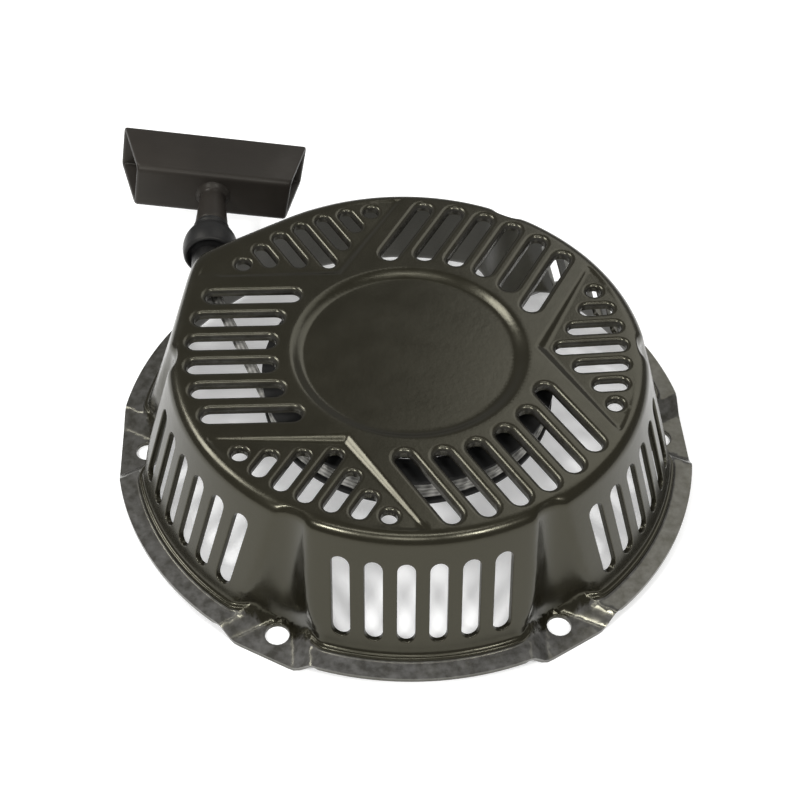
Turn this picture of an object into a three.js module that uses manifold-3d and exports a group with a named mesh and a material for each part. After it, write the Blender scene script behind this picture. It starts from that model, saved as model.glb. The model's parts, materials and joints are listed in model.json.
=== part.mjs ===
// Recoil starter for a small engine: a pressed-steel cover over a spring-loaded rope reel.
// Millimetres, +Z up. The origin is on the crankshaft axis, in the plane the five ears bolt to.
// The handle pulls the rope out along +Y.
import * as THREE from "three";
import { mergeVertices } from "three/addons/utils/BufferGeometryUtils.js";
import Module from "manifold-3d";

const wasm = await Module();
wasm.setup();

// ---------------------------------------------------------------- driving dimensions

// Cover, pressed from one sheet
const sheet = 1.8; // sheet thickness
const coverHeight = 57; // mounting plane to the flat top
const topRadius = 86; // flat top, up to the shoulder bend
const shoulderBend = 5.5; // radius of the bend between top and wall
const wallLean = 17.5; // degrees off vertical, widening downwards
const discRadius = 45.2; // round recess in the middle of the top
const discSlope = 5.2; // width of the recess's sloped wall
const discDepth = 2;
const footSpread = 2.68; // wall's foot out to the rim's inner edge
const flangeWidth = 7.4; // flat ring outside that
const flangeLift = 5.6; // underside of the rim above the mounting plane
const footStep = 1.6; // small step between the rim and the wall's foot
const footBend = 3; // height of the bend from the wall into the rim

// Mounting ears, and the half-round pockets in the wall above them
const earAzimuths = [0, 60, 180, 240, 300];
const earHoleInset = 10.9; // bolt circle inside the rim's edge
const earHoleRadius = 4.5;
const earHalfAngle = 6.6; // degrees, flat pad
const earRampAngle = 4.2; // degrees, ramp from the pad up to the rim
const pocketDepth = 8; // how far the wall steps in above an ear
const pocketTopDepth = 1.6; // the same at the shoulder
const pocketTopHalfAngle = 5; // degrees
const pocketFloorRise = 4; // where the pocket's wall starts to bend into the ear

// Rope nose: the corner that two tangents to the top make
const noseAzimuth = 146;
const noseHalfAngle = 26;
const noseFade = 0.15; // share of the corner left at the wall's foot
const noseRounding = 3; // degrees over which the corner is rounded

// Air slots in the top: three fans of parallel slots, and three pads between them
const fanAzimuths = [60, 180, 300];
const padAzimuths = [0, 120, 240];
const fanSlots = 6;
const fanPitch = 12.4;
const fanSlotWidth = 6.6;
const fanInnerMargin = 8.8; // inner end centres outside the recess
const fanOuterMargin = 5.6; // outer end centres inside the top's edge
const padPitch = 10;
const padSlotWidth = 5.6;
const padSlots = 5;
const padInnerMargin = 13.3; // middle slot's inner end centre outside the recess
const padRake = 0.6; // how fast the other inner ends step out
const padOuterMargin = 5.8;
const padHoleRadius = 2.9;

// Air slots in the wall
const wallFans = [-90, -30, 30, -150];
const wallSlots = 6;
const wallPitch = 11.5;
const wallSlotWidth = 6.5;
const wallSlotRise = 14.3; // mounting plane to the slots' lower ends
const wallSlotDrop = 10.7; // flat top to their upper ends
const arcSteps = 2; // pairs of facets on each slot's half-round end

// Rope and its way out
const ropeDiameter = 4.5;
const ropeLayers = 2; // of two turns each, when it is wound in
const ropeDrop = 17.8; // rope below the flat top
const ropeFromCorner = 1.33; // rope's line beside the nose's corner
const guideSlack = 1.35; // rope to the guide's bore
const guideWall = 3.9;
const guideMouth = 1.5; // flare of the bore
const guideInside = 11.4; // guide's length inside the wall
const guideOutside = 6.6;
const knotInReelRadius = 4;
const knotInReelLength = 6;
const knotInHandleRadius = 5;
const knotInHandleLength = 8;

// Reel, turning on the post under the cover
const reelRadius = 56;
const grooveFloor = 46.2; // radius of the rope groove's floor
const reelFlange = 2;
const grooveWall = 6.2; // between the groove and the spring's cavity
const skirtWall = 3; // wall of the reel below its web
const springCavityDepth = 10;
const reelWeb = 2.6; // floor under the spring
const hubWall = 2.9;
const hubDrop = 6; // hub below the web
const hubRecess = 1; // hub's top below the reel's top

// Post, bushing and centre screw
const postRadius = 7;
const postFlangeMargin = 6; // flange inside the recess's flat floor
const postFlangeThickness = 2;
const postFillet = 2;
const bushingWall = 1.6;
const screwRadius = 3;
const screwLength = 20; // in the post's thread
const screwHeadRadius = 6;
const screwHeadHeight = 4;
const screwCollar = 1; // flange under the screw's head, its height and overhang

// Rewind spring
const springTurns = 5;
const springStrip = 0.9;
const springWidth = 8;
const springHubGap = 2.5;
const springPlateThickness = 1.2;
const plateScrewRadius = 1.3;
const plateScrewHeadRadius = 2.6;
const plateScrewHeadHeight = 1.5;
const plateScrewLength = 6;

// Pawls and drive plate
const pawlCircle = 24;
const pawlPivotRadius = 3;
const pawlThickness = 4.4;
const pawlLength = 17;
const pawlBossRadius = 5.4;
const pawlNeckAngle = 60; // degrees each side of the arm, where it leaves the boss
const pawlTipWidth = 5;
const pawlRestAngle = 100; // degrees from the pivot's own radius, folded in
const pawlSwing = -50; // turn that brings the tip out
const pawlPinRadius = 1.4;
const pawlPinReach = 8.8; // pivot to pin
const drivePlateTurn = 30; // turn on the reel that swings the pawls out
const drivePlateInset = 5; // disc's edge inside the pawls' pivots
const pinTrackRim = 4; // metal outside each cam slot
const drivePlateThickness = 1.6;
const brakeSpringRadius = 5.2;
const brakeSpringWire = 1.1;
const brakeSpringHeight = 4.6;
const brakeSpringTurns = 3;
const pawlSpringRadius = 4.4;
const pawlSpringWire = 0.6;
const pawlSpringTurns = 2.5;
const washerThickness = 1;
const screwWasherRadius = 9;

// Handle
const gripLength = 80; // at the back, where the fingers pull
const gripFrontLength = 65;
const gripDepth = 28;
const gripHeight = 22;
const gripWall = 2.4;
const gripCorner = 3;
const gripTilt = 9; // degrees about the rope
const bossLength = 21;
const bossNeckRadius = 5.2;
const bossEndRadius = 7.1;
const bossFillet = 1.6;
const handleWasherRadius = 6.5;
const handleWasherThickness = 1.2;
const bumperLength = 18.5;
const bumperRadius = 11.4;
const bumperBellyAt = 0.45; // shares of the bumper's length, from the guide
const bumperNeckAt = 0.8;
const bumperEase = 0.2; // share of the swell left at the belly and at the neck
const bumperNeckRadius = 7.6;
const bumperLip = 1.5; // rounding of the bumper's rim
const bumperCup = 2.5; // depth of the hollow in its face

// Clearances
const seatGap = 0.2; // between faces that touch
const runGap = 0.3; // around what turns or slides
const bushGap = 0.08; // running fit of a bushing or a pawl on its pin
const screwGap = 0.15; // around a screw in its thread
const holeReach = 1; // how far a cutter passes through what it cuts

// ---------------------------------------------------------------- places worked out from them

const rad = THREE.MathUtils.degToRad;
const wallTan = Math.tan(rad(wallLean));
const bendOut = shoulderBend * Math.cos(rad(wallLean));
const bendZ = coverHeight - shoulderBend * (1 - Math.sin(rad(wallLean)));
const rimTopZ = flangeLift + sheet;
const footZ = rimTopZ + footStep + footBend;
const footRadius = topRadius + bendOut + (bendZ - footZ) * wallTan;
const flangeRadius = footRadius + footSpread + flangeWidth;
const earHoleCircle = flangeRadius - earHoleInset;
const fanInnerRadius = discRadius + fanInnerMargin;
const fanOuterRadius = topRadius - fanOuterMargin;
const padApex = discRadius + padInnerMargin;
const padOuterRadius = topRadius - padOuterMargin;
const noseCorner = topRadius / Math.cos(rad(noseHalfAngle));
const ropeX = noseCorner * Math.cos(rad(noseAzimuth)) + ropeFromCorner;
const ropeZ = coverHeight - ropeDrop;
const ropeFace = rad(noseAzimuth - noseHalfAngle); // azimuth that the rope's side of the nose faces
const wallAtRope = topRadius + bendOut + (bendZ - ropeZ) * wallTan;
const wallY = (wallAtRope - ropeX * Math.cos(ropeFace)) / Math.sin(ropeFace);
const guideBore = ropeDiameter / 2 + guideSlack;
const guideRadius = guideBore + guideWall;
const guideInnerY = wallY - guideInside;
const guideFaceY = wallY + guideOutside;
const springCavityRadius = grooveFloor - grooveWall;
const reelTop = ropeZ + ropeDiameter + seatGap + reelFlange;
const reelBottom = ropeZ - ropeDiameter - seatGap - reelFlange;
const webBottom = reelTop - springCavityDepth - reelWeb;
const hubBottom = webBottom - hubDrop;
const bushingRadius = postRadius + runGap + bushingWall;
const drivePlateRadius = pawlCircle - drivePlateInset;
const hubRadius = bushingRadius + seatGap + hubWall;
const postFlangeRadius = discRadius - discSlope - postFlangeMargin;
const discUnderside = coverHeight - discDepth - sheet;
const postFlangeBottom = discUnderside - seatGap - postFlangeThickness;
const postBottom = hubBottom - runGap;
const thrustBottom = postBottom - seatGap - washerThickness;
const drivePlateBottom = thrustBottom - runGap - drivePlateThickness;
const brakeSpringBottom = drivePlateBottom - runGap - brakeSpringHeight;
const screwWasherBottom = brakeSpringBottom - seatGap - washerThickness;
const screwHeadBottom = screwWasherBottom - seatGap - screwHeadHeight;
const knotCircle = grooveFloor + runGap + ropeDiameter / 2;
const windingRadius = knotCircle + (ropeLayers - 1) * ropeDiameter; // outermost turn
const bumperEndY = guideFaceY + runGap + bumperLength;
const gripFrontY = bumperEndY + seatGap + bossLength;

// ---------------------------------------------------------------- materials

function finish(color, roughness, metalness) {
  return new THREE.MeshStandardMaterial({ color, roughness, metalness });
}
const paint = finish(0x47443a, 0.45, 0.3);
const darkPlastic = finish(0x3b3a35, 0.5, 0);
const blackRubber = finish(0x1d1c1a, 0.8, 0);
const reelPlastic = finish(0x24242a, 0.6, 0);
const steel = finish(0x9a9b9c, 0.4, 0.9);
const springSteel = finish(0x3f4650, 0.35, 0.9);
const bronze = finish(0x9a6f3c, 0.5, 0.8);
const ropeFibre = finish(0xb9b5a8, 0.9, 0);

// ---------------------------------------------------------------- solids

const parts = new THREE.Group();

function solid(geometry) {
  const bare = geometry.index ? geometry.toNonIndexed() : geometry.clone();
  bare.deleteAttribute("normal");
  bare.deleteAttribute("uv");
  const merged = mergeVertices(bare, 1e-4);
  return new wasm.Manifold(
    new wasm.Mesh({
      numProp: 3,
      vertProperties: merged.attributes.position.array,
      triVerts: new Uint32Array(merged.index.array),
    }),
  );
}

function geometryOf(manifold) {
  const mesh = manifold.getMesh();
  const geometry = new THREE.BufferGeometry();
  geometry.setAttribute("position", new THREE.BufferAttribute(mesh.vertProperties, 3));
  geometry.setIndex(new THREE.BufferAttribute(mesh.triVerts, 1));
  geometry.computeVertexNormals();
  return geometry;
}

function add(name, shape, material) {
  const mesh = new THREE.Mesh(shape.isBufferGeometry ? shape : geometryOf(shape), material);
  mesh.name = name;
  parts.add(mesh);
  return mesh;
}

// Closed profile of [radius, height] pairs turned about Z.
function turned(profile, segments = 48) {
  const points = profile.map(([r, z]) => new THREE.Vector2(r, z));
  if (THREE.ShapeUtils.area(points) < 0) points.reverse();
  if (Math.min(...profile.map(([r]) => r)) > 0) points.push(points[0].clone());
  else {
    const start = points.findIndex((p, i) => p.x === 0 && points.at(i - 1).x === 0);
    points.push(...points.splice(0, start));
  }
  return new THREE.LatheGeometry(points, segments).rotateX(Math.PI / 2);
}

function ring(inner, outer, bottom, top, segments = 40) {
  const profile = [
    [inner, bottom],
    [outer, bottom],
    [outer, top],
    [inner, top],
  ];
  return turned(profile, segments);
}

function rod(radius, bottom, top, segments = 24) {
  return ring(0, radius, bottom, top, segments);
}

// Prism of a flat outline, from one height to another.
function prism(shape, bottom, top, curveSegments = 8) {
  const options = { depth: top - bottom, bevelEnabled: false, curveSegments };
  return new THREE.ExtrudeGeometry(shape, options).translate(0, 0, bottom);
}

// Slot with round ends between two end centres.
function slotShape(from, to, width) {
  const angle = Math.atan2(to.y - from.y, to.x - from.x);
  const shape = new THREE.Shape();
  shape.absarc(to.x, to.y, width / 2, angle - Math.PI / 2, angle + Math.PI / 2);
  shape.absarc(from.x, from.y, width / 2, angle + Math.PI / 2, angle + 1.5 * Math.PI);
  shape.closePath();
  return shape;
}

function roundedRectangle(width, height, radius) {
  const shape = new THREE.Shape();
  const x = width / 2 - radius;
  const y = height / 2 - radius;
  shape.absarc(x, y, radius, 0, Math.PI / 2);
  shape.absarc(-x, y, radius, Math.PI / 2, Math.PI);
  shape.absarc(-x, -y, radius, Math.PI, 1.5 * Math.PI);
  shape.absarc(x, -y, radius, 1.5 * Math.PI, 2 * Math.PI);
  shape.closePath();
  return shape;
}

function circleShape(x, y, radius) {
  return new THREE.Shape().absarc(x, y, radius, 0, 2 * Math.PI);
}

class Helix extends THREE.Curve {
  constructor(radius, bottom, rise, turns) {
    super();
    Object.assign(this, { radius, bottom, rise, turns });
  }
  getPoint(t, target = new THREE.Vector3()) {
    const angle = 2 * Math.PI * this.turns * t;
    const z = this.bottom + this.rise * t;
    return target.set(this.radius * Math.cos(angle), this.radius * Math.sin(angle), z);
  }
}

function coil(radius, wire, bottom, rise, turns) {
  const options = {
    steps: Math.round(turns * 11),
    extrudePath: new Helix(radius, bottom + wire / 2, rise - wire, turns),
    curveSegments: 3,
    bevelEnabled: false,
  };
  return new THREE.ExtrudeGeometry(circleShape(0, 0, wire / 2), options);
}

// Geometry built along +X, turned to an azimuth about Z.
function turnedTo(azimuth, geometry) {
  return geometry.rotateZ(rad(azimuth));
}

function centredRow(count, pitch) {
  return Array.from({ length: count }, (_, i) => (i - (count - 1) / 2) * pitch);
}

// ---------------------------------------------------------------- cover

const topLap = 2; // how far the wall's piece reaches in over the top's
const bendMiddleOut = 0.62; // middle point of the shoulder bend, as shares of its width
const bendMiddleDown = 0.22; // and of its radius
const azimuthStep = 6; // degrees between the cover's columns
const footRounding = 0.6; // share of the foot's width that its corner points take

function wrap(degrees) {
  return THREE.MathUtils.euclideanModulo(degrees + 180, 360) - 180;
}

// How far an azimuth stands out at the nose, as a share of the round outline.
function noseFactor(azimuth) {
  const off = Math.hypot(wrap(azimuth - noseAzimuth), noseRounding);
  return 1 / Math.cos(rad(Math.max(noseHalfAngle - off, 0)));
}

// Angle to the nearest ear, in degrees.
function earOffset(azimuth) {
  return Math.min(...earAzimuths.map((ear) => Math.abs(wrap(azimuth - ear))));
}

// 1 in the middle of something, falling smoothly to 0 at its half width.
function bump(off, halfWidth) {
  return Math.cos((Math.min(off / halfWidth, 1) * Math.PI) / 2) ** 2;
}

// Outer surface of the wall and rim at one azimuth, as [radius, height] from the top outwards.
function rimProfile(azimuth) {
  const off = earOffset(azimuth);
  const nose = noseFactor(azimuth);
  const lower = 1 + (nose - 1) * noseFade;
  const ear = THREE.MathUtils.clamp(1 - (off - earHalfAngle) / earRampAngle, 0, 1);
  const pocket = pocketDepth * bump(off, earHalfAngle + earRampAngle);
  const topPocket = pocketTopDepth * bump(off, pocketTopHalfAngle);
  const rimTop = flangeLift * (1 - ear) + sheet;
  const stepUp = footStep * (1 - ear);
  const rimInner = flangeRadius - flangeWidth;
  const edge = Math.cos(rad(earHalfAngle)) / Math.cos(rad(Math.min(off, earHalfAngle)));
  const wallFoot = THREE.MathUtils.lerp(footZ, sheet + pocketFloorRise, ear);
  return [
    [(topRadius - topLap) * nose, coverHeight],
    [topRadius * nose - topPocket / 2, coverHeight],
    [(topRadius + bendOut * bendMiddleOut) * nose - topPocket, coverHeight - shoulderBend * bendMiddleDown],
    [(topRadius + bendOut) * nose - topPocket, bendZ],
    [footRadius * lower - pocket, wallFoot],
    [(footRadius + footSpread * footRounding) * lower - pocket, rimTop + stepUp + footRounding],
    [rimInner - pocket * footRounding, rimTop + stepUp],
    [rimInner + footRounding, rimTop],
    [flangeRadius * edge, rimTop],
  ];
}

// The profile's other face, one sheet thickness inside it.
function innerProfile(profile) {
  return profile.map(([r, z], i) => {
    const before = profile[Math.max(i - 1, 0)];
    const after = profile[Math.min(i + 1, profile.length - 1)];
    const first = new THREE.Vector2(r - before[0], z - before[1]).normalize();
    const second = new THREE.Vector2(after[0] - r, after[1] - z).normalize();
    const along = first.clone().add(second).normalize();
    const reach = sheet / Math.max(along.dot(i ? first : second), Math.SQRT1_2);
    return [r + along.y * reach, z - along.x * reach];
  });
}

function coverAzimuths() {
  const steps = [0, earHalfAngle / 2, earHalfAngle, earHalfAngle + earRampAngle];
  const list = [];
  for (const ear of earAzimuths) {
    for (const step of steps) list.push(ear + step, ear - step);
  }
  for (let a = 0; a < 360; a += azimuthStep) {
    if (earOffset(a) > earHalfAngle + earRampAngle + azimuthStep / 3) list.push(a);
  }
  const full = list.map((a) => THREE.MathUtils.euclideanModulo(a, 360));
  return [...new Set(full.map((a) => Math.round(a * 1e6) / 1e6))].sort((a, b) => a - b);
}

function coverWall(azimuths) {
  const loops = azimuths.map((azimuth) => {
    const outer = rimProfile(azimuth);
    const inner = innerProfile(outer);
    inner[0] = [outer[0][0], coverHeight - sheet];
    return [...outer, ...inner.reverse()];
  });
  const count = loops[0].length;
  const positions = [];
  loops.forEach((loop, i) => {
    const a = rad(azimuths[i]);
    for (const [r, z] of loop) positions.push(r * Math.cos(a), r * Math.sin(a), z);
  });
  const index = [];
  loops.forEach((_, i) => {
    const here = i * count;
    const next = ((i + 1) % loops.length) * count;
    for (let j = 0; j < count; j++) {
      const k = (j + 1) % count;
      index.push(here + j, here + k, next + j, here + k, next + k, next + j);
    }
  });
  const geometry = new THREE.BufferGeometry();
  geometry.setAttribute("position", new THREE.Float32BufferAttribute(positions, 3));
  geometry.setIndex(index);
  return geometry;
}

// Openings of one fan of parallel slots, along +X.
function fanOpenings() {
  return centredRow(fanSlots, fanPitch).map((y) => {
    const from = new THREE.Vector2(Math.sqrt(fanInnerRadius ** 2 - y * y), y);
    const to = new THREE.Vector2(Math.sqrt(fanOuterRadius ** 2 - y * y), y);
    return slotShape(from, to, fanSlotWidth);
  });
}

// Openings of one pad: slots that shorten away from the middle, and a hole at each end.
function padOpenings() {
  return centredRow(padSlots + 2, padPitch).map((y) => {
    const outer = Math.sqrt(padOuterRadius ** 2 - y * y);
    if (Math.abs(y) > (padSlots * padPitch) / 2) return circleShape(outer, y, padHoleRadius);
    const from = new THREE.Vector2(padApex + padRake * Math.abs(y), y);
    return slotShape(from, new THREE.Vector2(outer, y), padSlotWidth);
  });
}

function rotatedPath(shape, azimuth) {
  const points = shape.getPoints(arcSteps);
  const centre = new THREE.Vector2();
  for (const point of points) point.rotateAround(centre, rad(azimuth));
  return new THREE.Path(points);
}

function coverTop(azimuths) {
  const edge = azimuths.map((azimuth) => {
    const r = (topRadius - topLap / 2) * noseFactor(azimuth);
    return new THREE.Vector2(r * Math.cos(rad(azimuth)), r * Math.sin(rad(azimuth)));
  });
  const plate = new THREE.Shape(edge);
  for (const azimuth of fanAzimuths) {
    for (const shape of fanOpenings()) plate.holes.push(rotatedPath(shape, azimuth));
  }
  for (const azimuth of padAzimuths) {
    for (const shape of padOpenings()) plate.holes.push(rotatedPath(shape, azimuth));
  }
  plate.holes.push(new THREE.Path(circleShape(0, 0, discRadius + topLap / 2).getPoints(24)));
  return prism(plate, coverHeight - sheet, coverHeight);
}

function coverDisc() {
  const floor = coverHeight - discDepth;
  const profile = [
    [0, floor],
    [discRadius - discSlope, floor],
    [discRadius, coverHeight],
    [discRadius + topLap, coverHeight],
    [discRadius + topLap, coverHeight - sheet],
    [discRadius, coverHeight - sheet],
    [discRadius - discSlope, floor - sheet],
    [0, floor - sheet],
  ];
  return turned(profile, 48);
}

function wallSlotCutter(y) {
  const low = new THREE.Vector2(wallSlotRise + wallSlotWidth / 2, y);
  const high = new THREE.Vector2(coverHeight - wallSlotDrop - wallSlotWidth / 2, y);
  const shape = slotShape(low, high, wallSlotWidth);
  const inside = topRadius - fanOuterMargin - sheet;
  return prism(shape, -flangeRadius, -inside, arcSteps).rotateY(-Math.PI / 2);
}

function buildCover() {
  const azimuths = coverAzimuths();
  let cover = solid(coverWall(azimuths)).add(solid(coverTop(azimuths))).add(solid(coverDisc()));
  for (const azimuth of wallFans) {
    for (const y of centredRow(wallSlots, wallPitch)) {
      cover = cover.subtract(solid(turnedTo(azimuth, wallSlotCutter(y))));
    }
  }
  for (const azimuth of earAzimuths) {
    const hole = rod(earHoleRadius, -holeReach, sheet + holeReach, 20).translate(earHoleCircle, 0, 0);
    cover = cover.subtract(solid(turnedTo(azimuth, hole)));
  }
  const ropeHole = alongRope(rod(guideRadius + seatGap, guideInnerY, guideFaceY + guideOutside, 20));
  return cover.subtract(solid(ropeHole));
}

// A shape built about Z is laid along the rope's way out, its heights becoming y.
function alongRope(geometry) {
  return geometry.rotateX(-Math.PI / 2).rotateY(Math.PI).translate(ropeX, 0, ropeZ);
}

add("cover", buildCover(), paint);

// ---------------------------------------------------------------- post and screw

function buildPost() {
  const bore = screwRadius + screwGap;
  const boreTop = screwHeadBottom + screwHeadHeight + screwLength + screwRadius;
  return turned([
    [0, postFlangeBottom + postFlangeThickness],
    [postFlangeRadius, postFlangeBottom + postFlangeThickness],
    [postFlangeRadius, postFlangeBottom],
    [postRadius + postFillet, postFlangeBottom],
    [postRadius, postFlangeBottom - postFillet],
    [postRadius, postBottom],
    [bore, postBottom],
    [bore, boreTop],
    [0, boreTop + bore / 2],
  ], 36);
}

function buildCentreScrew() {
  const top = screwWasherBottom - seatGap;
  const hexagon = rod(screwHeadRadius, screwHeadBottom, top - screwCollar / 2, 6);
  const collar = rod(screwHeadRadius + screwCollar, top - screwCollar, top);
  const shank = rod(screwRadius, top - screwCollar, top + screwLength, 16);
  return solid(hexagon).add(solid(collar)).add(solid(shank));
}

add("centre_post", buildPost(), steel);
add("centre_screw", buildCentreScrew(), steel);
const screwHole = screwRadius + seatGap;

function washer(radius, bottom) {
  return ring(screwHole, radius, bottom, bottom + washerThickness, 24);
}

const brakeSpring = coil(
  brakeSpringRadius,
  brakeSpringWire,
  brakeSpringBottom,
  brakeSpringHeight,
  brakeSpringTurns,
);
add("screw_washer", washer(screwWasherRadius, screwWasherBottom), steel);
add("brake_spring", brakeSpring, springSteel);
add("thrust_washer", washer(hubRadius - seatGap, thrustBottom), steel);

// ---------------------------------------------------------------- reel, bushing and rewind spring

const cavityFloor = reelTop - springCavityDepth;
const hubTop = reelTop - hubRecess;
const pawlTop = webBottom - 2 * runGap;
const pawlBottom = pawlTop - pawlThickness;
const pawlPostBottom = drivePlateBottom + drivePlateThickness + runGap;
const pawlAzimuths = [90, 270];
const reelKnotAzimuth = 20;
const plateScrewAzimuths = [30, 150, 270];
const plateScrewCircle = springCavityRadius + grooveWall / 2;

function pawlPost(azimuth) {
  const post = rod(pawlPivotRadius, pawlPostBottom, webBottom + reelWeb / 2, 16);
  return turnedTo(azimuth, post.translate(pawlCircle, 0, 0));
}

function buildReel() {
  const bore = bushingRadius + seatGap;
  const body = turned([
    [bore, hubTop],
    [hubRadius, hubTop],
    [hubRadius, cavityFloor],
    [springCavityRadius, cavityFloor],
    [springCavityRadius, reelTop],
    [reelRadius, reelTop],
    [reelRadius, reelTop - reelFlange],
    [grooveFloor, reelTop - reelFlange],
    [grooveFloor, reelBottom + reelFlange],
    [reelRadius, reelBottom + reelFlange],
    [reelRadius, reelBottom],
    [grooveFloor - skirtWall, reelBottom],
    [grooveFloor - skirtWall, webBottom],
    [hubRadius, webBottom],
    [hubRadius, hubBottom],
    [bore, hubBottom],
  ], 48);
  let reel = solid(body);
  for (const azimuth of pawlAzimuths) reel = reel.add(solid(pawlPost(azimuth)));
  const flangeTop = reelBottom + reelFlange;
  const knotHole = rod(ropeDiameter / 2 + runGap, reelBottom - holeReach, flangeTop + holeReach, 12);
  reel = reel.subtract(solid(turnedTo(reelKnotAzimuth, knotHole.translate(knotCircle, 0, 0))));
  for (const azimuth of plateScrewAzimuths) {
    const hole = rod(plateScrewRadius + screwGap, reelTop - plateScrewLength, reelTop + holeReach, 10);
    reel = reel.subtract(solid(turnedTo(azimuth, hole.translate(plateScrewCircle, 0, 0))));
  }
  return reel;
}

// Flat spiral strip, from the cavity's wall in to the hub.
function buildSpring() {
  const outer = springCavityRadius - runGap - springStrip;
  const inner = hubRadius + springHubGap;
  const stepsPerTurn = 18;
  const steps = springTurns * stepsPerTurn;
  const side = (offset) => Array.from({ length: steps + 1 }, (_, i) => {
    const angle = (i / stepsPerTurn) * 2 * Math.PI;
    const radius = outer + (inner - outer) * (i / steps) + offset;
    return new THREE.Vector2(radius * Math.cos(angle), radius * Math.sin(angle));
  });
  const outline = [...side(springStrip / 2), ...side(-springStrip / 2).reverse()];
  const bottom = cavityFloor + runGap;
  return prism(new THREE.Shape(outline), bottom, bottom + springWidth);
}

add("reel", buildReel(), reelPlastic);
add("reel_bushing", ring(postRadius + bushGap, bushingRadius, hubBottom, hubTop, 36), bronze);
add("rewind_spring", buildSpring(), springSteel);
const springPlateBottom = reelTop + seatGap;

function buildSpringPlate() {
  const top = springPlateBottom + springPlateThickness;
  let plate = solid(ring(hubRadius, grooveFloor, springPlateBottom, top, 48));
  for (const azimuth of plateScrewAzimuths) {
    const hole = rod(plateScrewRadius + seatGap, springPlateBottom - holeReach, top + holeReach, 10);
    plate = plate.subtract(solid(turnedTo(azimuth, hole.translate(plateScrewCircle, 0, 0))));
  }
  return plate;
}

add("spring_plate", buildSpringPlate(), steel);

function buildPlateScrew() {
  const seat = springPlateBottom + springPlateThickness + seatGap;
  const screw = turned([
    [0, seat - plateScrewLength],
    [plateScrewRadius, seat - plateScrewLength],
    [plateScrewRadius, seat],
    [plateScrewHeadRadius, seat],
    [plateScrewHeadRadius, seat + plateScrewHeadHeight / 2],
    [plateScrewRadius, seat + plateScrewHeadHeight],
    [0, seat + plateScrewHeadHeight],
  ], 12);
  return screw.translate(plateScrewCircle, 0, 0);
}

plateScrewAzimuths.forEach((azimuth, i) => {
  add(`spring_plate_screw_${i + 1}`, turnedTo(azimuth, buildPlateScrew()), steel);
});

// ---------------------------------------------------------------- pawls, drive plate and brake spring

function buildPawl() {
  const arm = new THREE.Shape();
  const half = pawlTipWidth / 2;
  arm.absarc(0, 0, pawlBossRadius, rad(pawlNeckAngle), rad(360 - pawlNeckAngle));
  arm.lineTo(pawlLength - half, -half - bushGap);
  arm.lineTo(pawlLength, half / 2);
  arm.lineTo(pawlLength - half, half);
  arm.closePath();
  arm.holes.push(new THREE.Path(circleShape(0, 0, pawlPivotRadius + bushGap).getPoints(8)));
  const body = solid(prism(arm, pawlBottom, pawlTop, 8));
  const middle = (pawlBottom + pawlTop) / 2;
  const pin = rod(pawlPinRadius, drivePlateBottom, middle, 10).translate(pawlPinReach, 0, 0);
  return body.add(solid(pin));
}

function buildPawlSpring() {
  const height = pawlBottom - pawlPostBottom - seatGap;
  return coil(pawlSpringRadius, pawlSpringWire, pawlPostBottom, height, pawlSpringTurns);
}

pawlAzimuths.forEach((azimuth, i) => {
  const pawl = new THREE.Group();
  pawl.position.set(pawlCircle, 0, 0);
  pawl.rotation.z = rad(pawlRestAngle);
  const body = add(`pawl_${i + 1}`, buildPawl(), steel);
  const spring = add(`pawl_spring_${i + 1}`, buildPawlSpring(), springSteel);
  pawl.add(body, spring);
  const side = new THREE.Group().add(pawl);
  side.rotation.z = rad(azimuth);
  parts.add(side);
});

// Where a pawl's pin is, seen from the drive plate, when the plate has made a share of its turn.
function pinOnPlate(share) {
  const angle = rad(pawlRestAngle + share * pawlSwing);
  const pin = new THREE.Vector2(pawlCircle, 0);
  pin.add(new THREE.Vector2(Math.cos(angle), Math.sin(angle)).multiplyScalar(pawlPinReach));
  return pin.rotateAround(new THREE.Vector2(), rad(-share * drivePlateTurn));
}

// The pin's path on the plate, as a slot of some half width.
function pinTrack(azimuth, halfWidth, bottom, top) {
  const shares = [0, 1 / 3, 2 / 3, 1];
  const pieces = shares.slice(1).map((share, i) => {
    const piece = slotShape(pinOnPlate(shares[i]), pinOnPlate(share), 2 * halfWidth);
    return solid(turnedTo(azimuth, prism(piece, bottom, top, 3)));
  });
  return pieces.reduce((all, piece) => all.add(piece));
}

// Drive plate: a pressed disc with two arms, each with the cam slot of a pawl's pin.
function buildDrivePlate() {
  const top = drivePlateBottom + drivePlateThickness;
  let plate = solid(ring(screwHole, drivePlateRadius, drivePlateBottom, top, 32));
  for (const azimuth of pawlAzimuths) {
    plate = plate.add(pinTrack(azimuth, pawlPinRadius + pinTrackRim, drivePlateBottom, top));
  }
  for (const azimuth of pawlAzimuths) {
    const slot = pinTrack(azimuth, pawlPinRadius + runGap, drivePlateBottom - holeReach, top + holeReach);
    plate = plate.subtract(slot);
  }
  return plate;
}

add("drive_plate", buildDrivePlate(), steel);

// ---------------------------------------------------------------- rope

const ropeRadius = ropeDiameter / 2;
const guideEnd = new THREE.Vector2(ropeX, guideInnerY);

// Where the rope leaves the reel, on the tangent through the guide.
function ropeTangent() {
  const reach = guideEnd.length();
  const open = Math.acos(windingRadius / reach);
  const angle = guideEnd.angle() + open;
  return new THREE.Vector2(windingRadius * Math.cos(angle), windingRadius * Math.sin(angle));
}

// The wound rope: one band, two turns wide and some layers deep.
function buildWoundRope() {
  const floor = grooveFloor + runGap;
  return ring(floor, windingRadius + ropeRadius, ropeZ - ropeDiameter, ropeZ + ropeDiameter, 48);
}

function tube(points, radius, steps) {
  const path = new THREE.CatmullRomCurve3(points, false, "centripetal");
  const options = { steps, extrudePath: path, bevelEnabled: false, curveSegments: 4 };
  return new THREE.ExtrudeGeometry(circleShape(0, 0, radius), options);
}

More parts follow.
